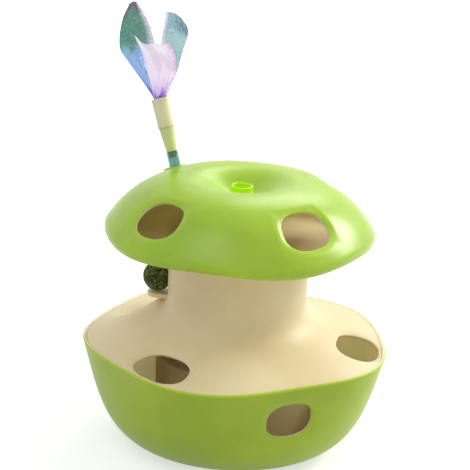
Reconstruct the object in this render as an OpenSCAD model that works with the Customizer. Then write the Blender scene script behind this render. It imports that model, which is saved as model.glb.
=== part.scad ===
// Apple-core cat toy: a green bowl and cap on a cream core, with a mouse that is driven
// round a drum inside the bowl, a swivelling cap, a catnip ball and a teaser wand.
// Millimetres, +Z up, origin at the centre of the floor that the feet stand on.
// The front is -Y. A bearing is an angle round the vertical axis, 0 at the front,
// positive towards +X.

/* [Bowl] */
// Outer radius of the bowl at its rim
rim_r = 118.5; // [112:0.5:126]
// Height of the bowl's rim over the floor
rim_z = 84; // [80:0.5:92]
// Outer radius where the bowl's wall meets its flat underside
base_r = 70; // [66:0.5:76]
// Wall of the bowl
bowl_wall = 2.6; // [2:0.1:3.2]
// Thickness of the bowl's floor
bowl_floor = 3; // [2.4:0.1:4]
// How far the wall's upper handle point lies inside the rim
bowl_draw = 9.5; // [7:0.5:12]
// How far the wall's lower handle point lies outside the base
bowl_belly = 34; // [30:0.5:38]
// Width of the bowl's two paw holes
bowl_hole_w = 40; // [32:0.5:46]
// Height of the bowl's paw holes
bowl_hole_h = 29; // [24:0.5:32]
// Height of the paw holes' centres over the floor
bowl_hole_z = 55; // [50:0.5:60]
// Bearing of the front paw hole in the bowl
bowl_hole_bearing = 24; // [10:1:40]
// Width of the ledge inside the rim that carries the deck
ledge_w = 3.6; // [3:0.1:5]
// Depth of the ledge's top face under the rim
ledge_drop = 5; // [4:0.5:7]

/* [Feet and base screws] */
// How far the rubber feet hold the bowl off the floor
foot_stand = 2; // [1.5:0.1:3]
// Radius of a rubber foot
foot_r = 6.5; // [5:0.1:8]
// Radius of the circle that the feet stand on
foot_circle_r = 60.5; // [58:0.5:62]
// Radius of the peg that holds a foot in the floor
foot_peg_r = 2.5; // [2:0.1:3]
// Radius of the shank of the base screws
base_screw_r = 1.5; // [1.2:0.1:1.8]
// Length of a base screw under its head
base_screw_l = 12; // [9:0.5:14]

/* [Drum and track] */
// Outer radius of the drum that the mouse runs round
drum_r = 62; // [60.5:0.5:64]
// Height of the drum's open top over the floor
drum_top = 70; // [68:0.5:72]
// Wall of the drum, its lid and the track
drum_wall = 2.4; // [2:0.1:2.8]
// Width of the shelf inside the drum that carries the drive
shelf_w = 4; // [3.5:0.1:5]
// Height of the shelf's top face
shelf_z = 38; // [36:0.5:40]
// Radius of the screw bosses inside the drum
boss_r = 4; // [3.4:0.1:4.2]
// Height of the screw bosses
boss_h = 14; // [12:0.5:16]
// Radius of the circle of the screw bosses
boss_circle_r = 56.5; // [56:0.1:57]

/* [Core and deck] */
// Radius of the waist
waist_r = 54.5; // [52:0.5:57]
// Height of the waist's top face
waist_top = 166; // [162:0.5:170]
// Wall of the core
core_wall = 2.6; // [2.2:0.1:3]
// Thickness of the plate across the waist's top
neck_plate = 3; // [2.5:0.1:4]
// Height where the deck's flare runs into the waist
flare_top = 114; // [112:0.5:118]
// Width of the three paw holes in the deck, along the rim
deck_hole_w = 48; // [40:0.5:50]
// Depth of the deck's paw holes, across the rim
deck_hole_h = 33; // [28:0.5:34]
// How far the circle of the deck's paw holes lies inside the deck's edge
deck_hole_inset = 18.6; // [18:0.1:20.6]
// Bearing halfway between the two paw holes at the front of the deck
deck_hole_mid = 22.5; // [10:0.5:30]
// Angle between those two paw holes
deck_hole_pair = 114; // [104:1:124]
// Slope of the deck at its paw holes
deck_hole_slope = 13; // [10:0.5:16]

/* [Cap] */
// Outer radius of the cap at its widest
cap_r = 106; // [102:0.5:110]
// Height of the cap's widest ring
cap_wide_z = 173.5; // [172.5:0.5:175.5]
// Height of the cap's top ridge
cap_top = 213.5; // [210:0.5:218]
// Radius of the top ridge round the dimple
ridge_r = 42; // [38:0.5:46]
// Depth of the dimple under the ridge
dimple_depth = 13; // [11:0.5:15]
// Wall of the cap
cap_wall = 2.6; // [2.2:0.1:3]
// Gap between the waist's top and the cap's floor
swivel_gap = 1.5; // [1.2:0.1:2]
// Width of the cap's three paw holes
cap_hole_w = 40; // [34:0.5:44]
// Height of the cap's paw holes, up the slope
cap_hole_h = 34; // [28:0.5:36]
// Radius of the circle of the cap's paw holes
cap_hole_r = 84.5; // [82:0.5:86]
// Height of the centres of the cap's paw holes
cap_hole_z = 198.5; // [196.5:0.5:200.5]
// Slope of the cap at its paw holes
cap_hole_slope = 40; // [34:0.5:46]
// Bearing halfway between the two paw holes at the front of the cap
cap_hole_mid = -5.5; // [-20:0.5:10]
// Angle between those two paw holes
cap_hole_pair = 82; // [78:1:90]
// Thickness of the cap's floor
cap_floor_t = 2.5; // [2:0.1:3]
// Radius of the post inside the cap
post_r = 13; // [12:0.1:14]
// Outer radius of the stem
stem_r = 9; // [8:0.1:9.5]
// Inner radius of the stem
stem_bore_r = 7; // [6:0.1:7.2]
// Height of the stem over the dimple's bottom
stem_rise = 8; // [5:0.5:12]
// Radius of the cap's screw bosses
cap_boss_r = 4; // [3.5:0.1:4.5]
// Radius of the circle of the cap's screw bosses
cap_boss_circle_r = 88; // [85:0.5:90]
// Radius of the shank of the cap's screws
cap_screw_r = 1.5; // [1.2:0.1:1.8]
// Length of a cap screw under its head
cap_screw_l = 10; // [8:0.5:12]

/* [Swivel] */
// Radius of the pivot bolt
pivot_r = 6; // [5:0.1:7]
// Radius of the pivot bolt's head
pivot_head_r = 9; // [8:0.1:9.5]
// Radius of the pivot washer
pivot_washer_r = 12; // [10:0.1:14]
// Thickness of the pivot washer
pivot_washer_t = 2; // [1.5:0.1:2.5]
// Inner radius of the swivel ring
ring_in_r = 30; // [26:0.5:34]
// Outer radius of the swivel ring
ring_out_r = 42; // [38:0.5:46]

/* [Drive] */
// Gear module
gear_m = 0.8; // [0.76:0.01:0.82]
// Teeth of the motor's pinion and of the compound gear's small end
pinion_teeth = 12; // [12:1:13]
// Teeth of the compound gear's large end
compound_teeth = 42; // [38:1:42]
// Teeth of the rotor's gear
rotor_teeth = 60; // [56:1:60]
// Bearing of the compound gear round the rotor
compound_bearing = 30; // [20:1:35]
// Direction of the motor from the compound gear, as a bearing
motor_bearing = -70; // [-75:1:-65]
// Thickness of the two gear plates
plate_t = 2.2; // [1.8:0.1:2.5]
// Face width of the gears
gear_w = 4.4; // [4:0.1:4.6]
// Radius of the rotor's shaft
shaft_r = 4; // [3.5:0.1:4.5]
// Radius of the compound gear's axle
axle_r = 1.5; // [1.2:0.1:1.6]
// Radius of the motor
motor_r = 10; // [9:0.1:11]
// Length of the motor
motor_l = 24; // [20:0.5:26]
// Radius of the motor's shaft
motor_shaft_r = 1; // [0.8:0.05:1.2]
// Radius of the circle of the gear posts
gear_post_circle_r = 44; // [43:0.5:46]
// Radius of a gear post
gear_post_r = 3; // [2.5:0.1:3.5]

/* [Rotor and mouse] */
// Radius of the circle that the mouse runs on
mouse_path_r = 78; // [77:0.5:79]
// Height of the mouse's middle
mouse_z = 30; // [28:0.5:32]
// Radius of the mouse's body
mouse_r = 12; // [10:0.5:12.5]
// Length of the mouse's body
mouse_body_l = 44; // [38:0.5:46]
// Length of the mouse's head
mouse_head_l = 20; // [16:0.5:22]
// Radius of a mouse's ear
ear_r = 6; // [5:0.1:7]
// Thickness of an ear
ear_t = 1.6; // [1.2:0.1:2]
// Radius of the tail
tail_r = 1.2; // [1:0.1:1.5]
// Angle that the tail spans round the track
tail_span = 24; // [16:1:28]
// Width of the rotor's arm
arm_w = 8; // [6:0.5:10]
// Thickness of the rotor's arm
arm_t = 4; // [3:0.1:5]

/* [Power] */
// Radius of a battery
cell_r = 7.25; // [7:0.05:7.3]
// Length of a battery with its nub
cell_l = 50.5; // [50:0.1:51]
// Distance between neighbouring batteries
cell_pitch = 15; // [14.8:0.1:15.2]
// Number of batteries
cells = 3; // [2:1:3]
// Room at each end of the batteries for their contacts
contact_room = 3.2; // [2.8:0.1:3.4]
// Wall of the battery box
box_wall = 1.6; // [1.2:0.1:1.8]
// Gap between the battery box's rear corners and the drum
box_gap = 1.1; // [0.8:0.1:1.6]
// Radius of the door screw's shank
door_screw_r = 1.25; // [1:0.05:1.5]
// Length of the circuit board
board_l = 26; // [24:0.5:28]
// Width of the circuit board
board_w = 16; // [14:0.5:18]
// Height of the board's standoffs over the bowl's floor
board_rise = 7; // [6.5:0.5:8]
// Travel of the switch
switch_travel = 4; // [3:0.5:4]

/* [Catnip ball] */
// Radius of the catnip ball
ball_r = 12; // [11:0.1:13]
// Distance of the ball's centre from the axis
ball_out = 64; // [63:0.5:65]
// Height of the ball's centre
ball_z = 128; // [126:0.5:131]
// Bearing of the ball
ball_bearing = -100; // [-110:1:-90]
// Radius of the ball's pin
ball_pin_r = 1.6; // [1.4:0.1:2]
// Radius of the shelf's round end, under the ball
ball_shelf_r = 8; // [6:0.1:9]
// Thickness of the shelf under the ball
ball_shelf_t = 3.6; // [3:0.1:4.5]

/* [Teaser wand] */
// Distance of the wand's foot from the axis
wand_out = 71; // [68:0.5:73]
// Height of the wand's foot, on the dome
wand_z = 208; // [206.5:0.5:209.5]
// Bearing of the wand's foot
wand_bearing = -131; // [-134:1:-128]
// Lean of the wand outwards
wand_lean = 20; // [16:0.5:22]
// Outer radius of the clear tube
tube_r = 4.7; // [4.4:0.1:5.2]
// Wall of the clear tube
tube_wall = 1; // [0.8:0.1:1.2]
// Length of the tube over the dome
tube_l = 12; // [10:0.5:16]
// Depth of the socket under the dome
socket_depth = 20; // [16:0.5:22]
// Wall of the socket
socket_wall = 2.2; // [1.8:0.1:2.6]
// Radius of the collar at its foot
collar_r = 6.6; // [6.4:0.1:7.5]
// Radius of the collar at its mouth
collar_top_r = 7.2; // [6.4:0.1:8]
// Length of the collar
collar_l = 24; // [20:0.5:28]
// Length of the plug inside the tube
plug_l = 5; // [4:0.5:8]
// Length of the plug between the tube and the collar
plug_out_l = 19; // [15:0.5:22]
// Radius of the plug where it rests on the tube
plug_seat_r = 4.3; // [4.2:0.1:4.6]
// Radius of the plug under the collar
plug_top_r = 6.2; // [5.6:0.1:6.5]
// Thickness of the film petals
film_t = 0.8; // [0.6:0.1:1]
// Height of the left petal over the collar
film_left_h = 82; // [76:0.5:88]
// Height of the right petal over the collar
film_right_h = 68; // [62:0.5:74]
// Height of the front petal over the collar
film_front_h = 48; // [42:0.5:54]
// How far the left petal leans out to the left
film_left_lean = 7; // [4:0.5:10]
// How far the left petal bows out halfway up
film_left_bow = 8; // [5:0.5:11]
// How far the right petal leans out to the right
film_right_lean = 26; // [21:0.5:30]
// How far the front petal leans out to the right
film_front_lean = 3; // [1:0.5:5]
// Half width that the left petal swells to
film_left_w = 13; // [11:0.5:15]
// Half width that the right petal swells to
film_right_w = 10.5; // [8.5:0.5:12.5]
// Half width that the front petal swells to
film_front_w = 14.5; // [12:0.5:16]

/* [Clearances] */
// Gap round pieces that fit inside one another
fit = 0.3; // [0.2:0.05:0.4]
// Radial clearance of a running shaft
run = 0.05; // [0.03:0.01:0.08]
// Backlash of the gears, taken off each tooth
backlash = 0.25; // [0.2:0.01:0.35]

/* [Hidden] */
$fn = 96;
green = [0.62, 0.78, 0.24];
cream = [0.94, 0.88, 0.74];
steel = [0.72, 0.73, 0.75];
dark = [0.18, 0.18, 0.2];
eps = 0.01;
curve_steps = 14;
quarter_fn = 24;

// A cubic curve from p to s with the handle points q and r
function bezier(p, q, r, s, n) = [for (i = [0:n]) let (t = i / n, k = 1 - t)
    k * k * k * p + 3 * k * k * t * q + 3 * k * t * t * r + t * t * t * s];
// Unit normal of a run of points at point i, to the left of its direction
function normal_at(c, i) = let (d = c[min(i + 1, len(c) - 1)] - c[max(i - 1, 0)]) [-d.y, d.x] / norm(d);
// The run of points moved by d to the left of its direction
function shifted(c, d) = [for (i = [0:len(c) - 1]) c[i] + d * normal_at(c, i)];
// Radius at height z on a run of points whose height falls or rises steadily
function radius_at(c, z) = [for (i = [0:len(c) - 2]) let (a = c[i], b = c[i + 1])
    if ((a.y - z) * (b.y - z) <= 0 && a.y != b.y) a.x + (b.x - a.x) * (z - a.y) / (b.y - a.y)][0];
// Height at radius x on a run of points whose radius falls or rises steadily
function height_at(c, x) = [for (i = [0:len(c) - 2]) let (a = c[i], b = c[i + 1])
    if ((a.x - x) * (b.x - x) <= 0 && a.x != b.x) a.y + (b.y - a.y) * (x - a.x) / (b.x - a.x)][0];
function reversed(c) = [for (i = [len(c) - 1:-1:0]) c[i]];

// Levels of the base
floor_z = foot_stand;
floor_top = floor_z + bowl_floor;
track_top = floor_top + drum_wall;
ledge_z = rim_z - ledge_drop;
drum_in_r = drum_r - drum_wall;
lid_top = drum_top + drum_wall;

// Outlines of the bowl's wall, from the rim down
bowl_handle_drop = 38;
bowl_handle_rise = 6;
bowl_curve = bezier([rim_r, rim_z], [rim_r - bowl_draw, rim_z - bowl_handle_drop],
    [base_r + bowl_belly, floor_z + bowl_handle_rise], [base_r, floor_z], curve_steps);
bowl_inner_all = shifted(bowl_curve, -bowl_wall);
bowl_inner = [for (p = bowl_inner_all) if (p.y > floor_top + eps && p.y < rim_z - eps) p];
bowl_rim_in_r = rim_r - bowl_wall;
bowl_corner_r = radius_at(bowl_inner_all, floor_top);

// Outlines of the deck, from its edge up to the waist
deck_r = bowl_rim_in_r - fit;
deck_foot_r = radius_at(bowl_inner_all, ledge_z + eps) - fit;
deck_handle_in = 23;
deck_handle_rise = 6;
flare_handle_out = 3.5;
flare_handle_drop = 22;
deck_curve = bezier([deck_r, rim_z], [deck_r - deck_handle_in, rim_z + deck_handle_rise],
    [waist_r + flare_handle_out, flare_top - flare_handle_drop], [waist_r, flare_top], curve_steps);
deck_inner = shifted(deck_curve, core_wall);
neck_z = waist_top - neck_plate;
deck_hole_r = deck_r - deck_hole_inset;

// Outlines of the cap, from the widest ring over the ridge into the dimple
lip_in = 2.5;
dome_foot_in = 7;
dome_foot_rise = 10.5;
dome_shoulder_out = 39;
dimple_handle_in = 16;
dimple_handle_out = 7;
dimple_handle_rise = 2;
cap_floor_z = waist_top + swivel_gap;
cap_floor_top = cap_floor_z + cap_floor_t;
dimple_z = cap_top - dimple_depth;
cap_hub_r = stem_r + fit;
dome_curve = bezier([cap_r, cap_wide_z], [cap_r - dome_foot_in, cap_wide_z + dome_foot_rise],
    [ridge_r + dome_shoulder_out, cap_top], [ridge_r, cap_top], curve_steps);
dimple_curve = bezier([ridge_r, cap_top], [ridge_r - dimple_handle_in, cap_top],
    [cap_hub_r + dimple_handle_out, dimple_z + dimple_handle_rise], [cap_hub_r, dimple_z], curve_steps);
cap_curve = concat(dome_curve, [for (i = [1:curve_steps]) dimple_curve[i]]);
cap_inner = shifted(cap_curve, cap_wall);
cap_lip_r = cap_r - lip_in;
cap_lip_in_r = cap_lip_r - cap_wall;
cap_floor_r = cap_lip_in_r - fit;
cap_hole_bearings = [for (k = [-1, 1, 3]) cap_hole_mid + k * cap_hole_pair / 2];
cap_boss_bearings = [for (k = [0:3]) cap_hole_mid + 90 * k];
deck_hole_bearings = [deck_hole_mid - deck_hole_pair / 2, deck_hole_mid + deck_hole_pair / 2,
    deck_hole_mid + 180];
bowl_hole_bearings = [bowl_hole_bearing, bowl_hole_bearing + 180];
bowl_hole_slope = 106;
hole_cut = 30;

// Stem and post
stem_flange_r = stem_r + 2.5;
stem_flange_t = 2;
stem_foot_z = dimple_z - cap_wall - stem_flange_t - 1;
stem_top = dimple_z + stem_rise;

// Swivel
pivot_head_t = 3;
washer_top = neck_z - fit;
washer_z = washer_top - pivot_washer_t;
nut_t = 4;
nut_z = washer_z - nut_t;
nut_r = pivot_r + 4;
post_in_r = pivot_head_r + fit;

// Drive levels and places
plate_z = shelf_z;
plate_top = plate_z + plate_t;
compound_z = plate_top + fit;
gear_gap = 0.6;
compound_small_z = compound_z + gear_w + gear_gap;
rotor_gear_z = compound_small_z + gear_gap;
compound_end_z = rotor_gear_z + gear_w + gear_gap;
cover_z = compound_end_z + fit;
cover_top = cover_z + plate_t;
pressure_angle = 25;
addendum = 0.8;
dedendum = 1.1;
flank_steps = 4;
root_flare = 0.4;
plate_r = drum_in_r - 2.4;
cover_r = gear_post_circle_r + gear_post_r + 2;
compound_out = gear_m * (rotor_teeth + pinion_teeth) / 2;
motor_out = gear_m * (compound_teeth + pinion_teeth) / 2;
compound_xy = compound_out * [sin(compound_bearing), -cos(compound_bearing)];
motor_xy = compound_xy + motor_out * [sin(motor_bearing), -cos(motor_bearing)];
// Angles from +X of the two centre lines, so that a tooth meets a gap on each
line_1 = compound_bearing - 90;
line_2 = motor_bearing - 90;
rotor_hub_r = shaft_r + 3;
bush_flange_r = rotor_hub_r + 2;
bush_flange_t = 1.6;
motor_boss_r = 3;
motor_flat = motor_r - 2.2;
post_angles = [90, 210, 330];

// Rotor and mouse
arm_z = lid_top + 2.4;
arm_top = arm_z + arm_t;
arm_hub_r = shaft_r + 6;
arm_hub_top = arm_top + 3;
stalk_w = 5;
stalk_sink = 4;
screw_head_r = shaft_r + 0.8;
screw_head_t = 2.2;
mouse_head_r = 9;
neck_overlap = 8;
profile_steps = 12;
body_fullness = 0.55;
snout_bow = 1.5;
snout_fullness = 0.8;
mouse_body_mid = -4;
head_start = mouse_body_mid + mouse_body_l / 2 - neck_overlap;
ear_from_neck = 9;
ear_at = head_start + ear_from_neck;
ear_side = 6.6;
ear_lift = 8.5;

// Power
box_in_l = cell_l + 2 * contact_room;
box_in_w = cells * cell_pitch;
box_l = box_in_l + 2 * box_wall;
box_w = box_in_w + 2 * box_wall;
box_h = 2 * cell_r + 3;
box_back = sqrt(pow(drum_in_r - box_gap, 2) - pow(box_l / 2, 2));
box_front = box_back - box_w;
box_top = floor_top + box_h + box_wall;
cell_z = floor_top + cell_r + 1;
box_mid_y = box_front + box_w / 2;
door_seat = 0.6;
door_l = box_in_l + 2 * door_seat;
door_w = box_in_w + 2 * door_seat;
cell_ys = [for (i = [0:cells - 1]) box_front + box_wall + cell_pitch * (i + 0.5)];
nub_r = 2.7;
nub_l = 1.2;
contact_t = 0.6;
contact_w = 9;
contact_pad_r = 3.2;
contact_gap = 0.1;
lug_r = 3.2;
lug_sink = 0.6;
door_screw_x = box_l / 2 + lug_r - lug_sink;
door_screw_l = 8;
tab_w = 9;
tab_l = door_screw_x + 4;
screw_sink_t = 1.6;
board_x = 29;
board_y = -31;
board_t = 1.6;
chip_l = 8;
chip_w = 6;
chip_t = 2;
board_z = floor_top + board_rise;
standoff_r = 2.4;
standoff_x = board_l / 2 - 3;
case_l = 13;
case_w = 7;
knob_l = 4;
knob_w = 3;
knob_rise = 3;
knob_recess = 0.4;
slot_l = knob_l + switch_travel + 2 * fit;
slot_w = knob_w + 2 * fit;
knob_x = board_x - switch_travel / 2;

// Feet and screws
foot_bearings = [45, 135, 225, 315];
foot_peg_h = bowl_floor;
foot_dish = 1;
boss_bearings = [0, 90, 180, 270];
head_r = 2.9;
head_t = 1.8;
screw_seat = 1;

// Catnip ball
pocket_gap = 1;
pin_head_r = 4;
pin_head_t = 1.8;
ball_shelf_top = ball_z - ball_r - fit;
shelf_foot_z = ball_shelf_top - ball_shelf_t;
pin_head_z = ball_z + ball_r + fit;

// Wand
flange_r = tube_r + socket_wall + 3;
flange_rise = 1;
socket_r = tube_r + socket_wall;
socket_foot = 2;
plug_gap = 0.1;
plug_taper = 0.4;
tube_bore_r = tube_r - tube_wall;
plug_in_r = tube_bore_r - plug_gap;
plug_tip_r = plug_in_r - plug_taper;
plug_top = tube_l + plug_out_l + fit;
film_root = tube_l + plug_out_l + collar_l;
film_sink = 3;
film_root_half = 1.6;
film_swell = 0.75;
film_taper = 0.12;
film_cup_mid = 0.4;
film_reach_bow = 0.8;
film_rows = 12;
film_cols = 8;
left_close = 1;
left_reach = 2;
left_cup = 4;
right_close = 0.95;
right_reach = 9;
right_cup = -1.5;
right_slant = -0.06;
right_back = 2.6;
front_close = 0.5;
front_reach = -9;
front_cup = 4;
front_fore = 2.4;
front_bow = 3;
front_slant = -0.07;
collar_rim = 1.6;

// Puts children at a bearing and a radius, with -Y pointing outwards
module at_bearing(bearing, r, z = 0) {
    rotate([0, 0, bearing]) translate([0, -r, z]) children();
}

// A straight-sided slot with round ends, w long and h wide, cut along Z
module slot_cutter(w, h, depth) {
    translate([-(w - h) / 2, -h / 2, -depth / 2]) cube([w - h, h, depth]);
    for (x = [-1, 1]) translate([x * (w - h) / 2, 0, -depth / 2]) cylinder(r = h / 2, h = depth);
}

// A paw hole through a wall that leans back by slope from upright
module paw_hole(bearing, r, z, slope, w, h) {
    at_bearing(bearing, r, z) rotate([slope, 0, 0]) slot_cutter(w, h, hole_cut);
}

module tube(r_out, r_in, z0, z1) {
    difference() {
        translate([0, 0, z0]) cylinder(r = r_out, h = z1 - z0);
        translate([0, 0, z0 - 1]) cylinder(r = r_in, h = z1 - z0 + 2);
    }
}

// A screw with its shank pointing up from z, its head below
module screw_up(z, shank_r, shank_l, top_r, top_t) {
    translate([0, 0, z]) cylinder(r = shank_r, h = shank_l);
    translate([0, 0, z - top_t]) cylinder(r = top_r, h = top_t);
}

// Involute gear outline: each flank is the path of a string unwound from the base circle
function unwind(a) = tan(a) * 180 / PI - a;
function half_tooth(teeth, r) = let (rp = gear_m * teeth / 2, rb = rp * cos(pressure_angle))
    90 / teeth - backlash / 2 / rp * 180 / PI + unwind(pressure_angle) - unwind(acos(min(1, rb / r)));
function polar(r, a) = [r * cos(a), r * sin(a)];
function tooth_points(teeth, at) =
    let (rp = gear_m * teeth / 2, rb = rp * cos(pressure_angle),
        tip = rp + addendum * gear_m, root = rp - dedendum * gear_m, foot = max(rb, root),
        radii = [for (k = [0:flank_steps]) foot + (tip - foot) * k / flank_steps])
    concat([polar(root, at - half_tooth(teeth, foot) - root_flare)],
        [for (r = radii) polar(r, at - half_tooth(teeth, r))],
        [for (r = reversed(radii)) polar(r, at + half_tooth(teeth, r))],
        [polar(root, at + half_tooth(teeth, foot) + root_flare)]);
module gear(teeth, turn, w) {
    linear_extrude(height = w)
        polygon([for (i = [0:teeth - 1]) each tooth_points(teeth, turn + 360 * i / teeth)]);
}

// The battery door's outline with its screw tab, grown by gap all round
module door_blank(gap, z, h) {
    translate([-door_l / 2 - gap, box_mid_y - door_w / 2 - gap, z])
        cube([door_l + 2 * gap, door_w + 2 * gap, h]);
    translate([0, box_mid_y - tab_w / 2 - gap, z]) cube([tab_l + gap, tab_w + 2 * gap, h]);
}

module bowl() {
    color(green) difference() {
        union() {
            difference() {
                rotate_extrude() polygon(concat([[0, floor_z], [0, rim_z]], bowl_curve));
                rotate_extrude() polygon(concat([[0, rim_z + 1], [bowl_rim_in_r, rim_z + 1],
                    [bowl_rim_in_r, rim_z]], bowl_inner,
                    [[bowl_corner_r, floor_top], [0, floor_top]]));
            }
            rotate_extrude() polygon([[deck_foot_r - ledge_w, ledge_z],
                [deck_foot_r + bowl_wall / 2, ledge_z],
                [deck_foot_r + bowl_wall / 2, ledge_z - 2 * ledge_w]]);
            for (s = [-1, 1]) translate([board_x + s * standoff_x, board_y, floor_top - eps])
                cylinder(r = standoff_r, h = board_rise + eps);
        }
        for (b = bowl_hole_bearings)
            paw_hole(b, radius_at(bowl_curve, bowl_hole_z), bowl_hole_z, bowl_hole_slope,
                bowl_hole_w, bowl_hole_h);
        door_blank(fit, floor_z - 1, bowl_floor + 2);
        translate([board_x - slot_l / 2, board_y - slot_w / 2, floor_z - 1])
            cube([slot_l, slot_w, bowl_floor + 2]);
        for (b = foot_bearings) at_bearing(b, foot_circle_r, floor_z - 1)
            cylinder(r = foot_peg_r, h = bowl_floor + 2);
        for (b = boss_bearings) at_bearing(b, boss_circle_r, 0) {
            translate([0, 0, floor_z - 1]) cylinder(r = base_screw_r + fit, h = bowl_floor + 2);
            translate([0, 0, floor_z - 1]) cylinder(r = head_r + fit, h = 1 + head_t);
        }
    }
}

module mouse_track() {
    color(cream) difference() {
        union() {
            tube(bowl_corner_r - fit, drum_in_r, floor_top, track_top);
            tube(drum_r, drum_in_r, floor_top, drum_top);
            rotate_extrude() polygon([[drum_in_r + eps, shelf_z], [drum_in_r - shelf_w, shelf_z],
                [drum_in_r + eps, shelf_z - 2 * shelf_w]]);
            for (b = boss_bearings) at_bearing(b, boss_circle_r, floor_top)
                cylinder(r = boss_r, h = boss_h);
        }
        for (b = boss_bearings) at_bearing(b, boss_circle_r, floor_top - 1)
            cylinder(r = base_screw_r, h = base_screw_l + 1);
    }
}

module core_deck() {
    color(cream) difference() {
        union() {
            rotate_extrude() polygon(concat([[0, waist_top], [0, neck_z], [waist_r - core_wall, neck_z]],
                reversed(deck_inner), [[deck_foot_r - core_wall, ledge_z], [deck_foot_r, ledge_z]],
                deck_curve, [[waist_r, waist_top]]));
            intersection() {
                at_bearing(ball_bearing, ball_out, ball_z) sphere(r = ball_r + pocket_gap + core_wall);
                cylinder(r = waist_r - eps, h = waist_top);
            }
            difference() {
                at_bearing(ball_bearing, 0, shelf_foot_z) {
                    translate([0, -ball_out, 0]) cylinder(r = ball_shelf_r, h = ball_shelf_t);
                    translate([-ball_shelf_r, -ball_out, 0])
                        cube([2 * ball_shelf_r, ball_out, ball_shelf_t]);
                }
                cylinder(r = waist_r - core_wall, h = waist_top);
            }
        }
        at_bearing(ball_bearing, ball_out, ball_z) sphere(r = ball_r + pocket_gap);
        at_bearing(ball_bearing, ball_out, shelf_foot_z - 1) cylinder(r = ball_pin_r, h = ball_shelf_t + 2);
        for (b = deck_hole_bearings)
            paw_hole(b, deck_hole_r, height_at(deck_curve, deck_hole_r), deck_hole_slope,
                deck_hole_w, deck_hole_h);
        translate([0, 0, neck_z - 1]) cylinder(r = pivot_r + run, h = neck_plate + 2);
    }
}

module drum_lid() {
    color(cream) difference() {
        union() {
            translate([0, 0, drum_top]) cylinder(r = drum_r, h = drum_wall);
            tube(drum_in_r - fit, drum_in_r - fit - drum_wall, drum_top - drum_wall, drum_top + eps);
        }
        translate([0, 0, drum_top - 1]) cylinder(r = rotor_hub_r, h = drum_wall + 2);
    }
}

module shaft_bush() {
    color("white") {
        tube(rotor_hub_r, shaft_r + run, drum_top, lid_top);
        tube(bush_flange_r, shaft_r + run, drum_top - bush_flange_t, drum_top);
    }
}

module gear_plate() {
    color(steel) difference() {
        translate([0, 0, plate_z]) cylinder(r = plate_r, h = plate_t);
        translate([0, 0, plate_z - 1]) cylinder(r = shaft_r + run, h = plate_t + 2);
        translate([motor_xy.x, motor_xy.y, plate_z - 1]) cylinder(r = motor_boss_r, h = plate_t + 2);
        translate([compound_xy.x, compound_xy.y, plate_z - 1]) cylinder(r = axle_r, h = plate_t + 2);
    }
}

module gear_cover_plate() {
    color(steel) difference() {
        translate([0, 0, cover_z]) cylinder(r = cover_r, h = plate_t);
        translate([0, 0, cover_z - 1]) cylinder(r = shaft_r + run, h = plate_t + 2);
        translate([compound_xy.x, compound_xy.y, cover_z - 1]) cylinder(r = axle_r, h = plate_t + 2);
    }
}

module gear_posts() {
    color("goldenrod") for (a = post_angles) rotate([0, 0, a]) translate([gear_post_circle_r, 0, plate_top])
        cylinder(r = gear_post_r, h = cover_z - plate_top);
}

module gear_axle() {
    color(steel) translate([compound_xy.x, compound_xy.y, plate_z])
        cylinder(r = axle_r, h = cover_top - plate_z);
}

module motor() {
    color(steel) translate([motor_xy.x, motor_xy.y, 0]) difference() {
        union() {
            intersection() {
                translate([0, 0, plate_z - motor_l]) cylinder(r = motor_r, h = motor_l);
                translate([-motor_r, -motor_flat, plate_z - motor_l])
                    cube([2 * motor_r, 2 * motor_flat, motor_l]);
            }
            translate([0, 0, plate_z - eps]) cylinder(r = motor_boss_r, h = plate_t - fit + eps);
        }
        translate([0, 0, plate_z - motor_l / 2]) cylinder(r = motor_shaft_r + run, h = motor_l);
    }
}

module motor_pinion() {
    color("white") translate([motor_xy.x, motor_xy.y, 0]) {
        translate([0, 0, compound_z + fit])
            gear(pinion_teeth, line_2 + 180 + 180 / pinion_teeth, gear_w - 2 * fit);
        translate([0, 0, plate_z - motor_l / 2 + 1])
            cylinder(r = motor_shaft_r, h = compound_z - plate_z + motor_l / 2);
    }
}

module compound_gear() {
    color("ivory") translate([compound_xy.x, compound_xy.y, 0]) difference() {
        union() {
            translate([0, 0, compound_z]) gear(compound_teeth, line_2, gear_w);
            translate([0, 0, compound_z + gear_w - eps])
                gear(pinion_teeth, line_1 + 180 + 180 / pinion_teeth,
                    compound_end_z - compound_z - gear_w + eps);
        }
        translate([0, 0, compound_z - 1]) cylinder(r = axle_r + run, h = compound_end_z - compound_z + 2);
    }
}

module rotor_gear() {
    color("white") {
        translate([0, 0, rotor_gear_z]) gear(rotor_teeth, line_1, gear_w);
        translate([0, 0, plate_top + fit]) cylinder(r = rotor_hub_r, h = cover_z - plate_top - 2 * fit);
        translate([0, 0, plate_z]) cylinder(r = shaft_r, h = arm_hub_top - plate_z);
    }
}

module rotor_arm() {
    color(cream) difference() {
        union() {
            translate([0, 0, arm_z]) cylinder(r = arm_hub_r, h = arm_hub_top - arm_z);
            translate([-arm_w / 2, 0, arm_z]) cube([arm_w, mouse_path_r + stalk_w / 2, arm_t]);
            translate([-stalk_w / 2, mouse_path_r - stalk_w / 2, mouse_z + mouse_r - stalk_sink])
                cube([stalk_w, stalk_w, arm_z - mouse_z - mouse_r + stalk_sink + eps]);
        }
        translate([0, 0, arm_z - 1]) cylinder(r = shaft_r, h = arm_hub_top - arm_z + 2);
    }
}

module rotor_screw() {
    color(steel) translate([0, 0, arm_hub_top]) cylinder(r = screw_head_r, h = screw_head_t);
}

// Half outline of a soft form along X: radius r, drawn in at both ends
function plump(l, r) = [for (i = [0:profile_steps]) let (t = i / profile_steps)
    [l * t, r * pow(sin(180 * t), body_fullness)]];

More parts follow.
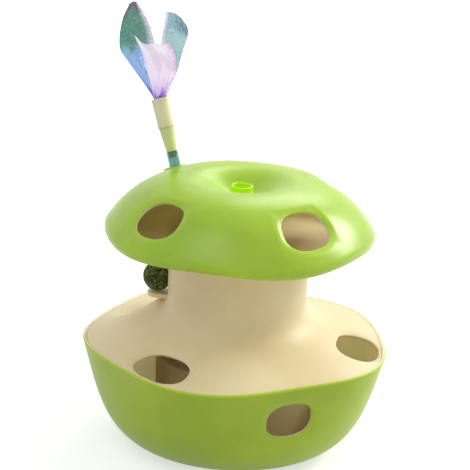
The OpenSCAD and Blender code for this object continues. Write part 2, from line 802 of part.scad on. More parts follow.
// A soft form turned about its long axis, which lies along +X
module turned(points) {
    rotate([90, 0, 90]) rotate([0, 0, 90]) rotate_extrude() polygon([for (p = points) [p.y, p.x]]);
}

module mouse_place() {
    translate([0, mouse_path_r, mouse_z]) children();
}

module mouse_body_solid() {
    translate([mouse_body_mid - mouse_body_l / 2, 0, 0]) turned(plump(mouse_body_l, mouse_r));
}

module mouse_body() {
    color("gray") mouse_place() difference() {
        mouse_body_solid();
        translate([-stalk_w / 2, -stalk_w / 2, mouse_r - stalk_sink]) cube([stalk_w, stalk_w, 2 * mouse_r]);
    }
}

module mouse_head_solid() {
    translate([head_start, 0, 0])
        turned(concat([[0, 0]], [for (i = [0:profile_steps]) let (t = i / profile_steps)
            [mouse_head_l * t, mouse_head_r * pow(1 - pow(t, snout_bow), snout_fullness)]]));
}

module mouse_head() {
    color("gray") mouse_place() difference() {
        mouse_head_solid();
        mouse_body_solid();
    }
}

module mouse_ears() {
    color("pink") mouse_place() difference() {
        for (s = [-1, 1]) translate([ear_at, s * ear_side, ear_lift]) rotate([0, 90, 0])
            cylinder(r = ear_r, h = ear_t);
        mouse_head_solid();
        mouse_body_solid();
    }
}

module mouse_tail() {
    color("pink") difference() {
        translate([0, 0, mouse_z]) rotate([0, 0, 90 + mouse_body_l / 2 / mouse_path_r * 180 / PI])
            rotate_extrude(angle = tail_span) translate([mouse_path_r, 0])
                circle(r = tail_r, $fn = quarter_fn);
        mouse_place() mouse_body_solid();
    }
}

module battery_box() {
    color(dark) difference() {
        union() {
            translate([-box_l / 2, box_front, floor_top]) cube([box_l, box_w, box_top - floor_top]);
            translate([door_screw_x, box_mid_y, floor_top])
                cylinder(r = lug_r, h = door_screw_l + box_wall);
        }
        translate([-box_in_l / 2, box_front + box_wall, floor_top - 1])
            cube([box_in_l, box_in_w, box_h + 1]);
        translate([door_screw_x, box_mid_y, floor_top - 1])
            cylinder(r = door_screw_r, h = door_screw_l + 1);
    }
}

module batteries() {
    for (i = [0:cells - 1]) translate([0, cell_ys[i], cell_z]) rotate([0, i % 2 == 0 ? 90 : -90, 0]) {
        color("darkorange") translate([0, 0, -cell_l / 2]) cylinder(r = cell_r, h = cell_l - nub_l);
        color(steel) translate([0, 0, cell_l / 2 - nub_l - eps]) cylinder(r = nub_r, h = nub_l + eps);
    }
}

module battery_contacts() {
    color("silver") for (y = cell_ys, s = [-1, 1])
        translate([s * box_in_l / 2, y, cell_z]) rotate([0, -90 * s, 0]) {
        translate([-contact_w / 2, -contact_w / 2, 0]) cube([contact_w, contact_w, contact_t]);
        cylinder(r = contact_pad_r, h = contact_room - contact_gap);
    }
}

module battery_door() {
    color(green) difference() {
        door_blank(0, floor_z, bowl_floor);
        translate([door_screw_x, box_mid_y, floor_z - 1]) {
            cylinder(r = door_screw_r + fit, h = bowl_floor + 2);
            cylinder(r = head_r, h = 1 + screw_sink_t);
        }
    }
}

module door_screw() {
    color(steel) translate([door_screw_x, box_mid_y, 0])
        screw_up(floor_z + screw_sink_t, door_screw_r, bowl_floor - screw_sink_t + door_screw_l - 1,
            head_r - fit, screw_sink_t - fit);
}

module circuit_board() {
    color("darkgreen") translate([board_x - board_l / 2, board_y - board_w / 2, board_z])
        cube([board_l, board_w, board_t]);
    color(dark) translate([board_x - chip_l / 2, board_y - chip_w / 2, board_z + board_t - eps])
        cube([chip_l, chip_w, chip_t]);
}

module switch_case() {
    color(dark) translate([board_x, board_y, 0]) difference() {
        translate([-case_l / 2, -case_w / 2, floor_top + eps]) cube([case_l, case_w, board_rise - eps]);
        translate([-slot_l / 2, -slot_w / 2, floor_top - 1]) cube([slot_l, slot_w, knob_rise + 1 + fit]);
    }
}

module switch_slider() {
    color("white") translate([knob_x - knob_l / 2, board_y - knob_w / 2, floor_z + knob_recess])
        cube([knob_l, knob_w, bowl_floor - knob_recess + knob_rise]);
}

module rubber_feet() {
    color(dark) for (b = foot_bearings) at_bearing(b, foot_circle_r) difference() {
        union() {
            cylinder(r = foot_r, h = foot_stand);
            cylinder(r = foot_peg_r, h = foot_stand + foot_peg_h);
        }
        translate([0, 0, -1]) cylinder(r = foot_r / 3, h = 1 + foot_dish);
    }
}

module base_screws() {
    color(steel) for (b = boss_bearings) at_bearing(b, boss_circle_r)
        screw_up(floor_z + head_t, base_screw_r, base_screw_l + bowl_floor - head_t - 1,
            head_r, head_t - fit);
}

module swivel_ring() {
    color("white") tube(ring_out_r, ring_in_r, waist_top, cap_floor_z - fit);
}

module pivot_bolt() {
    color(steel) {
        translate([0, 0, nut_z]) cylinder(r = pivot_r, h = cap_floor_top - nut_z);
        translate([0, 0, cap_floor_top]) cylinder(r = pivot_head_r, h = pivot_head_t);
    }
}

module pivot_washer() {
    color(steel) tube(pivot_washer_r, pivot_r, washer_z, washer_top);
}

module pivot_nut() {
    color(steel) difference() {
        translate([0, 0, nut_z]) cylinder(r = nut_r, h = nut_t, $fn = 6);
        translate([0, 0, nut_z - 1]) cylinder(r = pivot_r, h = nut_t + 2);
    }
}

module cap_outside() {
    rotate_extrude() polygon(concat([[0, cap_floor_z], [cap_lip_r, cap_floor_z]], cap_curve,
        [[0, dimple_z]]));
}

module cap_shell() {
    rotate_extrude() polygon(concat([[cap_lip_in_r, cap_floor_z], [cap_lip_r, cap_floor_z]], cap_curve,
        [[cap_hub_r, dimple_z - cap_wall]], [for (p = reversed(cap_inner)) if (p.x > cap_hub_r + 1) p],
        [[cap_lip_in_r, cap_wide_z]]));
}

module wand_place() {
    rotate([0, 0, wand_bearing]) translate([0, -wand_out, wand_z]) rotate([wand_lean, 0, 0]) children();
}

module cap() {
    color(green) difference() {
        union() {
            cap_shell();
            intersection() {
                for (b = cap_boss_bearings) at_bearing(b, cap_boss_circle_r, cap_floor_top)
                    cylinder(r = cap_boss_r, h = cap_top - cap_floor_top);
                translate([0, 0, -cap_wall / 2]) cap_outside();
            }
        }
        for (b = cap_hole_bearings)
            paw_hole(b, cap_hole_r, cap_hole_z, cap_hole_slope, cap_hole_w, cap_hole_h);
        for (b = cap_boss_bearings) at_bearing(b, cap_boss_circle_r, cap_floor_top - 1)
            cylinder(r = cap_screw_r, h = 1 + cap_screw_l);
        wand_place() translate([0, 0, -socket_depth]) cylinder(r = socket_r, h = 2 * socket_depth);
    }
}

module cap_floor() {
    color(cream) difference() {
        union() {
            translate([0, 0, cap_floor_z]) cylinder(r = cap_floor_r, h = cap_floor_t);
            translate([0, 0, cap_floor_top - eps])
                cylinder(r = post_r, h = stem_foot_z - cap_floor_top + eps);
        }
        translate([0, 0, cap_floor_z - 1]) cylinder(r = pivot_r, h = cap_floor_t + 2);
        translate([0, 0, cap_floor_top]) cylinder(r = post_in_r, h = cap_top);
        for (b = cap_boss_bearings) at_bearing(b, cap_boss_circle_r, cap_floor_z - 1) {
            cylinder(r = cap_screw_r + fit, h = cap_floor_t + 2);
            cylinder(r = head_r + fit, h = 1 + screw_seat);
        }
    }
}

module cap_screws() {
    color(steel) for (b = cap_boss_bearings) at_bearing(b, cap_boss_circle_r)
        screw_up(cap_floor_z + screw_seat, cap_screw_r, cap_floor_t - screw_seat + cap_screw_l - 1,
            head_r, screw_seat);
}

module stem() {
    color([0.7, 0.85, 0.2]) {
        tube(stem_r, stem_bore_r, stem_foot_z, stem_top);
        tube(stem_flange_r, stem_bore_r, stem_foot_z, stem_foot_z + stem_flange_t);
        translate([0, 0, stem_foot_z]) cylinder(r = stem_bore_r + eps, h = stem_flange_t);
    }
}

module wand_socket() {
    color(green) difference() {
        wand_place() translate([0, 0, -socket_depth - socket_foot]) {
            cylinder(r = socket_r, h = socket_depth + socket_foot + flange_rise);
        }
        wand_place() translate([0, 0, -socket_depth]) cylinder(r = tube_r + run, h = 2 * socket_depth);
    }
    color(green) difference() {
        wand_place() translate([0, 0, -flange_rise]) tube(flange_r, socket_r - eps, 0, 2 * flange_rise);
        cap_outside();
    }
}

module wand_tube() {
    color([0.7, 0.9, 0.9]) wand_place() tube(tube_r, tube_bore_r, -socket_depth + fit, tube_l);
}

module lure_plug() {
    color(cream) wand_place() rotate_extrude() polygon([
        [0, tube_l - plug_l], [plug_tip_r, tube_l - plug_l], [plug_in_r, tube_l + plug_gap],
        [plug_seat_r, tube_l + plug_gap], [plug_top_r, plug_top], [0, plug_top]]);
}

module lure_collar() {
    color(cream) wand_place() translate([0, 0, plug_top]) difference() {
        cylinder(r1 = collar_r, r2 = collar_top_r, h = collar_l - fit);
        translate([0, 0, collar_l - fit - film_sink - 1])
            cylinder(r = collar_top_r - collar_rim, h = film_sink + 2);
    }
}

// A film petal: row t from the collar up, column s from -1 to 1 across. Its middle leans and
// bows sideways and to the front, its width swells and closes again, and it cups round its middle.
function petal_point(t, s, h, lean, bow, width, close, reach, cup, slant) =
    let (swell = pow(sin(180 * min(1, t * close)), film_swell),
        half = film_root_half + width * swell * (1 - film_taper * t))
    [lean * t + bow * sin(180 * t) + half * s,
        reach * pow(t, film_reach_bow) + cup * (s * s - film_cup_mid) * sin(180 * t),
        h * t * (1 + slant * s * t)];

module petal(h, lean, bow, width, close, reach, cup, slant) {
    cols = film_cols + 1;
    count = (film_rows + 1) * cols;
    face = [for (side = [0, 1], i = [0:film_rows], j = [0:film_cols])
        petal_point(i / film_rows, 2 * j / film_cols - 1, h, lean, bow, width, close, reach, cup,
            slant)
            + [0, side * film_t, -film_sink]];
    edge = concat([for (j = [0:film_cols - 1]) j], [for (i = [0:film_rows - 1]) i * cols + film_cols],
        [for (j = [film_cols:-1:1]) film_rows * cols + j], [for (i = [film_rows:-1:1]) i * cols]);
    n = len(edge);
    polyhedron(face, concat(
        [for (i = [0:film_rows - 1], j = [0:film_cols - 1]) let (a = i * cols + j)
            each [[a, a + cols, a + 1], [a + 1, a + cols, a + cols + 1]]],
        [for (i = [0:film_rows - 1], j = [0:film_cols - 1]) let (a = count + i * cols + j)
            each [[a, a + 1, a + cols], [a + 1, a + cols + 1, a + cols]]],
        [for (k = [0:n - 1]) let (a = edge[k], b = edge[(k + 1) % n])
            each [[a, b, a + count], [b, b + count, a + count]]]));
}

module film_left() {
    color([0.45, 0.75, 0.85, 0.6]) wand_place()
        rotate([0, 0, -wand_bearing]) translate([0, 0, film_root])
            petal(film_left_h, -film_left_lean, -film_left_bow, film_left_w, left_close, left_reach,
                left_cup, 0);
}

module film_right() {
    color([0.55, 0.75, 0.8, 0.6]) wand_place()
        rotate([0, 0, -wand_bearing]) translate([0, right_back, film_root])
            petal(film_right_h, film_right_lean, 0, film_right_w, right_close,
                right_reach, right_cup, right_slant);
}

module film_front() {
    color([0.8, 0.7, 0.9, 0.6]) wand_place()
        rotate([0, 0, -wand_bearing]) translate([0, -front_fore, film_root])
            petal(film_front_h, film_front_lean, front_bow, film_front_w, front_close, front_reach,
                front_cup, front_slant);
}

module catnip_ball() {
    color([0.3, 0.35, 0.19]) at_bearing(ball_bearing, ball_out, ball_z) difference() {
        sphere(r = ball_r);
        translate([0, 0, -ball_r - 1]) cylinder(r = ball_pin_r + run, h = 2 * ball_r + 2);
    }
}

module ball_pin() {
    color(green) at_bearing(ball_bearing, ball_out) {
        translate([0, 0, shelf_foot_z]) cylinder(r = ball_pin_r, h = pin_head_z - shelf_foot_z);
        translate([0, 0, pin_head_z]) cylinder(r = pin_head_r, h = pin_head_t);
    }
}

bowl();
mouse_track();
core_deck();
drum_lid();
shaft_bush();
gear_plate();
gear_cover_plate();
gear_posts();
gear_axle();
motor();
motor_pinion();
compound_gear();
rotor_gear();
rotor_arm();
rotor_screw();
mouse_body();
mouse_head();
mouse_ears();
mouse_tail();
battery_box();
batteries();
battery_contacts();
battery_door();
door_screw();
circuit_board();
switch_case();
switch_slider();
rubber_feet();
base_screws();
swivel_ring();
pivot_bolt();
pivot_washer();
pivot_nut();
cap();
cap_floor();
cap_screws();
stem();
wand_socket();
wand_tube();
lure_plug();
lure_collar();
film_left();
film_right();
film_front();
catnip_ball();
ball_pin();
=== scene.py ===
"""A lobed cat toy, dressed: green bowl and cap on a cream core, with a driven mouse inside,
a catnip ball at the waist and a teaser wand that carries a gathered film lure.

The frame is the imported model's: metres, +Z up, the front at -Y. Sizes in the classes are
millimetres. A bearing is an angle round the vertical axis, 0 at the front, positive to +X.
"""
import logging
import math
from dataclasses import dataclass, field
from enum import Enum
from typing import Callable, Optional, Sequence

import bmesh
import bpy
import numpy as np
from mathutils import Matrix, Vector
from numpy.typing import NDArray


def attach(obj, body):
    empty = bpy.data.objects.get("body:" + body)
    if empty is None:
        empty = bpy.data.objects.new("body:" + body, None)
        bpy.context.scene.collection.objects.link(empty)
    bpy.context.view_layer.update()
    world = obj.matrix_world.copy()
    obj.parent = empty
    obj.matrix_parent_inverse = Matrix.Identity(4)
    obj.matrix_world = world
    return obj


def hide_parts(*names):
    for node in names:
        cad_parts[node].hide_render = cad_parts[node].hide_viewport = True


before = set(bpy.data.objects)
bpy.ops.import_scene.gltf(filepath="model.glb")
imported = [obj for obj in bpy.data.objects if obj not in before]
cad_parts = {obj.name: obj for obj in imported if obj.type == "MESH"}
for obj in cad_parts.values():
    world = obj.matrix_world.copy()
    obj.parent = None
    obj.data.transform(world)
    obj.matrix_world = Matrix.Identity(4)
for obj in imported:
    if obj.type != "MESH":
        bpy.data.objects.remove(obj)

Array = NDArray[np.float64]
Colour = tuple[float, float, float]
Point = tuple[float, float, float]
Pair = tuple[float, float]
Line = tuple[Pair, ...]
Object = bpy.types.Object
Node = bpy.types.Node
Socket = bpy.types.NodeSocket
Material = bpy.types.Material

MM = 0.001
FULL_TURN = 2 * np.pi
CRISP_PAST = 30.0
SHARP_PAST = 40.0
SOFT_PAST = 60.0
PLUSH_PAST = 80.0
MERGE_WITHIN = 2e-6
NO_LENGTH = 1e-7
ROUND_SHARE = 0.45
ROUND_POINTS = 5
EDGE_ROWS = 7
LIP_STEPS = 6
BORDER_RINGS = 7
BORDER_EASE = 1.2
QUARTERS = (0, 90, 180, 270)
LOG = logging.getLogger("toy")
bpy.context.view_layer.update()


# Surfaces

def bezier(a: Sequence[float], b: Sequence[float], c: Sequence[float], d: Sequence[float],
           count: int = 80) -> Array:
    """Points of a cubic curve: the four handles weighted by (1-t)^3, 3t(1-t)^2, 3t^2(1-t), t^3.

    Args:
        a, b, c, d: the curve's handles.
        count: number of points.

    Returns:
        An array of count points.
    """
    t = np.linspace(0.0, 1.0, count)[:, None]
    handles = [np.asarray(p, float) for p in (a, b, c, d)]
    weights = [(1 - t) ** 3, 3 * t * (1 - t) ** 2, 3 * t ** 2 * (1 - t), t ** 3]
    return sum(w * p for w, p in zip(weights, handles))


def corner(before: Sequence[float], tip: Sequence[float], after: Sequence[float],
           radius: float, count: int = 9) -> Array:
    """A rounded corner: the parabola that leaves each leg at radius from the tip.

    Args:
        before, tip, after: points on the first leg, at the corner and on the second leg.
        radius: distance from the tip at which the round starts.
        count: number of points.

    Returns:
        The round's points, in order.
    """
    b, p, a = (np.asarray(x, float) for x in (before, tip, after))
    start = p + (b - p) / np.linalg.norm(b - p) * radius
    end = p + (a - p) / np.linalg.norm(a - p) * radius
    t = np.linspace(0.0, 1.0, count)[:, None]
    return (1 - t) ** 2 * start + 2 * t * (1 - t) * p + t ** 2 * end


def soft_outline(points: Sequence[Sequence[float]], radius: float) -> Array:
    """An outline whose inner corners are rounded by radius, or by less on a short leg.

    Args:
        points: the outline's corners.
        radius: size of the rounds.

    Returns:
        The outline with its rounds.
    """
    tips = np.asarray(points, float)
    legs = np.linalg.norm(np.diff(tips, axis=0), axis=1)
    sizes = np.minimum(radius, ROUND_SHARE * np.minimum(legs[:-1], legs[1:]))
    rounds = [corner(*tips[i:i + 3], size, ROUND_POINTS) for i, size in enumerate(sizes)]
    return np.concatenate([tips[:1], *rounds, tips[-1:]])


def smooth(low: float, high: float, x: Array) -> Array:
    """The curve 3t^2 - 2t^3 from 0 at low to 1 at high."""
    t = np.clip((x - low) / (high - low), 0.0, 1.0)
    return t * t * (3 - 2 * t)


def faded(low: float, high: float, x: Array, full: float) -> Array:
    """The same curve, scaled to reach 1 at full."""
    return smooth(low, high, x) / smooth(low, high, np.array(full))


def eased(line: Line, at: Array, ease: float = 0.06, steps: int = 13) -> Array:
    """A line of (place, value) points read at some places, its corners eased by averaging over ease."""
    place, value = np.asarray(line, float).T
    return sum(np.interp(at + step, place, value) for step in np.linspace(-ease, ease, steps)) / steps


def bearings(count: int) -> Array:
    """A row of bearings in radians, evenly round from the front."""
    return np.linspace(0.0, FULL_TURN, count, endpoint=False)[None, :]


def around(bearing: Array, r: Array, z: Array) -> Array:
    """The points (r sin b, -r cos b, z) at bearings b in radians."""
    return np.stack(np.broadcast_arrays(r * np.sin(bearing), -r * np.cos(bearing), z), axis=-1)


def at_bearing(bearing: float, radius: float) -> Pair:
    """The plan point at a bearing in degrees and a radius."""
    turn = math.radians(bearing)
    return radius * math.sin(turn), -radius * math.cos(turn)


def moved(x: float, y: float, z: float = 0.0) -> Array:
    """A 4 by 4 matrix that moves by x, y and z millimetres.

    Args:
        x, y, z: the move.

    Returns:
        The matrix.
    """
    place = np.eye(4)
    place[:3, 3] = x, y, z
    return place


def carried(points: Array, place: Array) -> Array:
    """Points taken through a 4 by 4 matrix."""
    return points @ place[:3, :3].T + place[:3, 3]


def grid_faces(rows: int, columns: int, close_rows: bool, close_columns: bool) -> Array:
    """Quads of a grid of rows by columns points, each wound along the row and then up.

    Args:
        rows, columns: size of the grid.
        close_rows: whether the last row joins the first.
        close_columns: whether the last column joins the first.

    Returns:
        An array of vertex numbers, four to a face.
    """
    r = np.arange(rows if close_rows else rows - 1)[:, None]
    c = np.arange(columns if close_columns else columns - 1)[None, :]
    up, along = (r + 1) % rows, (c + 1) % columns
    corners = [r * columns + c, r * columns + along, up * columns + along, up * columns + c]
    return np.stack(np.broadcast_arrays(*corners), axis=-1).reshape(-1, 4)


def smoothed(mesh: bpy.types.Mesh, crease: float) -> bpy.types.Mesh:
    """Shades a mesh smooth, with edges past crease degrees drawn sharp.

    Args:
        mesh: the mesh.
        crease: the angle in degrees.

    Returns:
        The same mesh.
    """
    mesh.shade_smooth()
    mesh.set_sharp_from_angle(angle=math.radians(crease))
    return mesh


def shown(name: str, mesh: bpy.types.Mesh, crease: float) -> Object:
    """A new object at the origin, with its mesh shaded smooth.

    Args:
        name: the piece's name.
        mesh: its mesh.
        crease: angle in degrees past which an edge is drawn sharp.

    Returns:
        The object.
    """
    obj = bpy.data.objects.new(name, smoothed(mesh, crease))
    bpy.context.scene.collection.objects.link(obj)
    return obj


def mesh_object(name: str, points: Array, faces: Array, crease: float = SHARP_PAST,
                uv: Optional[Array] = None, lids: Sequence[Sequence[int]] = ()) -> Object:
    """An object from points in millimetres, with coincident points merged.

    Args:
        name: the piece's name.
        points: an array of points, three numbers each.
        faces: an array of vertex numbers, four to a face.
        crease: angle in degrees past which an edge is drawn sharp.
        uv: pattern coordinates of each point, two numbers each.
        lids: more faces, of any number of corners.

    Returns:
        The object.
    """
    mesh = bpy.data.meshes.new(name)
    mesh.from_pydata((points.reshape(-1, 3) * MM).tolist(), [], [*faces.tolist(), *lids])
    if uv is not None:
        layer = mesh.uv_layers.new(name="Pattern")
        layer.data.foreach_set("uv", uv.reshape(-1, 2)[faces.ravel()].ravel().astype(np.float32))
    bm = bmesh.new()
    bm.from_mesh(mesh)
    bmesh.ops.remove_doubles(bm, verts=bm.verts, dist=MERGE_WITHIN)
    bmesh.ops.dissolve_degenerate(bm, edges=bm.edges, dist=NO_LENGTH)
    bm.to_mesh(mesh)
    bm.free()
    return shown(name, mesh, crease)


def join(name: str, parts: Sequence[Object]) -> Object:
    """One object from several meshes, each at the origin, which are removed.

    Args:
        name: the joined piece's name.
        parts: the objects.

    Returns:
        The joined object.
    """
    bm = bmesh.new()
    for part in parts:
        bm.from_mesh(part.data)
        bpy.data.objects.remove(part)
    mesh = bpy.data.meshes.new(name)
    bm.to_mesh(mesh)
    bm.free()
    return shown(name, mesh, SHARP_PAST)


def cut(obj: Object, tools: Sequence[Object]) -> Object:
    """Cuts closed meshes out of a piece at the origin, and removes them.

    Args:
        obj: the piece.
        tools: the meshes to take away.

    Returns:
        The piece.
    """
    tool = join(obj.name + "_tool", tools)
    change = obj.modifiers.new("cut", "BOOLEAN")
    change.operation, change.solver, change.object = "DIFFERENCE", "EXACT", tool
    graph = bpy.context.evaluated_depsgraph_get()
    mesh = bpy.data.meshes.new_from_object(obj.evaluated_get(graph))
    obj.modifiers.clear()
    obj.data = smoothed(mesh, SHARP_PAST)
    bpy.data.objects.remove(tool)
    return obj


def turned(name: str, outline: Array, place: Optional[Array] = None, columns: int = 64,
           ring: bool = False, crease: float = SHARP_PAST) -> Object:
    """A turned piece: the outline (radius, height) carried round its own axis.

    Args:
        name: the piece's name.
        outline: the outline's points, wound so that its left side is the outside.
        place: a 4 by 4 matrix in millimetres, or None for the vertical axis.
        columns: points round the axis.
        ring: whether the outline closes on itself.
        crease: angle in degrees past which an edge is drawn sharp.

    Returns:
        The object.
    """
    points = around(bearings(columns), outline[:, :1], outline[:, 1:2])
    if place is not None:
        points = carried(points, place)
    return mesh_object(name, points, grid_faces(len(outline), columns, ring, True), crease)


def prism(name: str, outline: Line, low: float, high: float) -> Object:
    """An upright prism: the plan outline, wound anticlockwise, as two rows with a lid on each.

    Args:
        name: the piece's name.
        outline: the plan's corners.
        low, high: heights of the two rows.

    Returns:
        The object.
    """
    plan = np.asarray(outline, float)
    count = len(plan)
    points = np.concatenate([np.column_stack([plan, np.full(count, z)]) for z in (low, high)])
    lids = [list(range(count))[::-1], list(range(count, 2 * count))]
    return mesh_object(name, points, grid_faces(2, count, False, True), CRISP_PAST, lids=lids)


def rod(name: str, at: Pair, radius: float, low: float, high: float) -> Object:
    """An upright closed cylinder at a place, as a turned outline with its ends on the axis."""
    outline = np.array([[0, low], [radius, low], [radius, high], [0, high]], float)
    return turned(name, outline, moved(*at), columns=40)


@dataclass
class Profile:
    """A shell's outer line in radius and height, measured by the distance along it."""

    points: Array
    pitch: float = 0.25

    def __post_init__(self) -> None:
        """Resamples the line evenly and finds its length and its outward normals."""
        legs = np.linalg.norm(np.diff(self.points, axis=0), axis=1)
        line = self.points[np.concatenate([[True], legs > 1e-9])]
        run = np.concatenate([[0.0], np.cumsum(np.linalg.norm(np.diff(line, axis=0), axis=1))])
        self.length = float(run[-1])
        self.run = np.linspace(0.0, self.length, int(self.length / self.pitch) + 2)
        self.r = np.interp(self.run, run, line[:, 0])
        self.z = np.interp(self.run, run, line[:, 1])
        dr, dz = np.gradient(self.r), np.gradient(self.z)
        size = np.hypot(dr, dz)
        self.normal_r, self.normal_z = dz / size, -dr / size

    def at(self, along: Array, *values: Array) -> list[Array]:
        """Each row of values, read at distances along the line."""
        return [np.interp(along, self.run, row) for row in values]

    def where(self, values: Array, target: float, after: float = 0.0) -> float:
        """Distance along the line, past after, at which values first come nearest to target."""
        gap = np.abs(values - target) + 1e3 * (self.run < after)
        return float(self.run[int(np.argmin(gap))])


@dataclass(frozen=True)
class Lobes:
    """Soft lobes round a rim, as waves of a count, a share of the radius and a crest's bearing.

    The radius is times 1 + the sum of share cos(count (bearing - crest)), and the rim dips by
    dip millimetres at the first wave's crests and rises as much between them.
    """

    waves: tuple[tuple[int, float, float], ...]
    dip: float = 0.0

    def factor(self, bearing: Array, weight: Array) -> Array:
        """The radius factor at a bearing in radians, faded by weight."""
        return 1 + weight * sum(share * np.cos(count * (bearing - math.radians(crest)))
                                for count, share, crest in self.waves)

    def drop(self, bearing: Array, weight: Array) -> Array:
        """How far the surface drops at a bearing in radians, faded by weight."""
        count, _, crest = self.waves[0]
        return self.dip * weight * np.cos(count * (bearing - math.radians(crest)))


@dataclass(frozen=True)
class PawHole:
    """A rounded opening in a shell: the curve |a/A|^n + |b/B|^n = 1 on its surface.

    Round it the wall curls inwards by sag walls, over the border's width.
    """

    bearing: float
    along: float
    width: float
    height: float
    power: float = 2.5
    lip: float = 1.15
    border: float = 5.0
    sag: float = 0.55


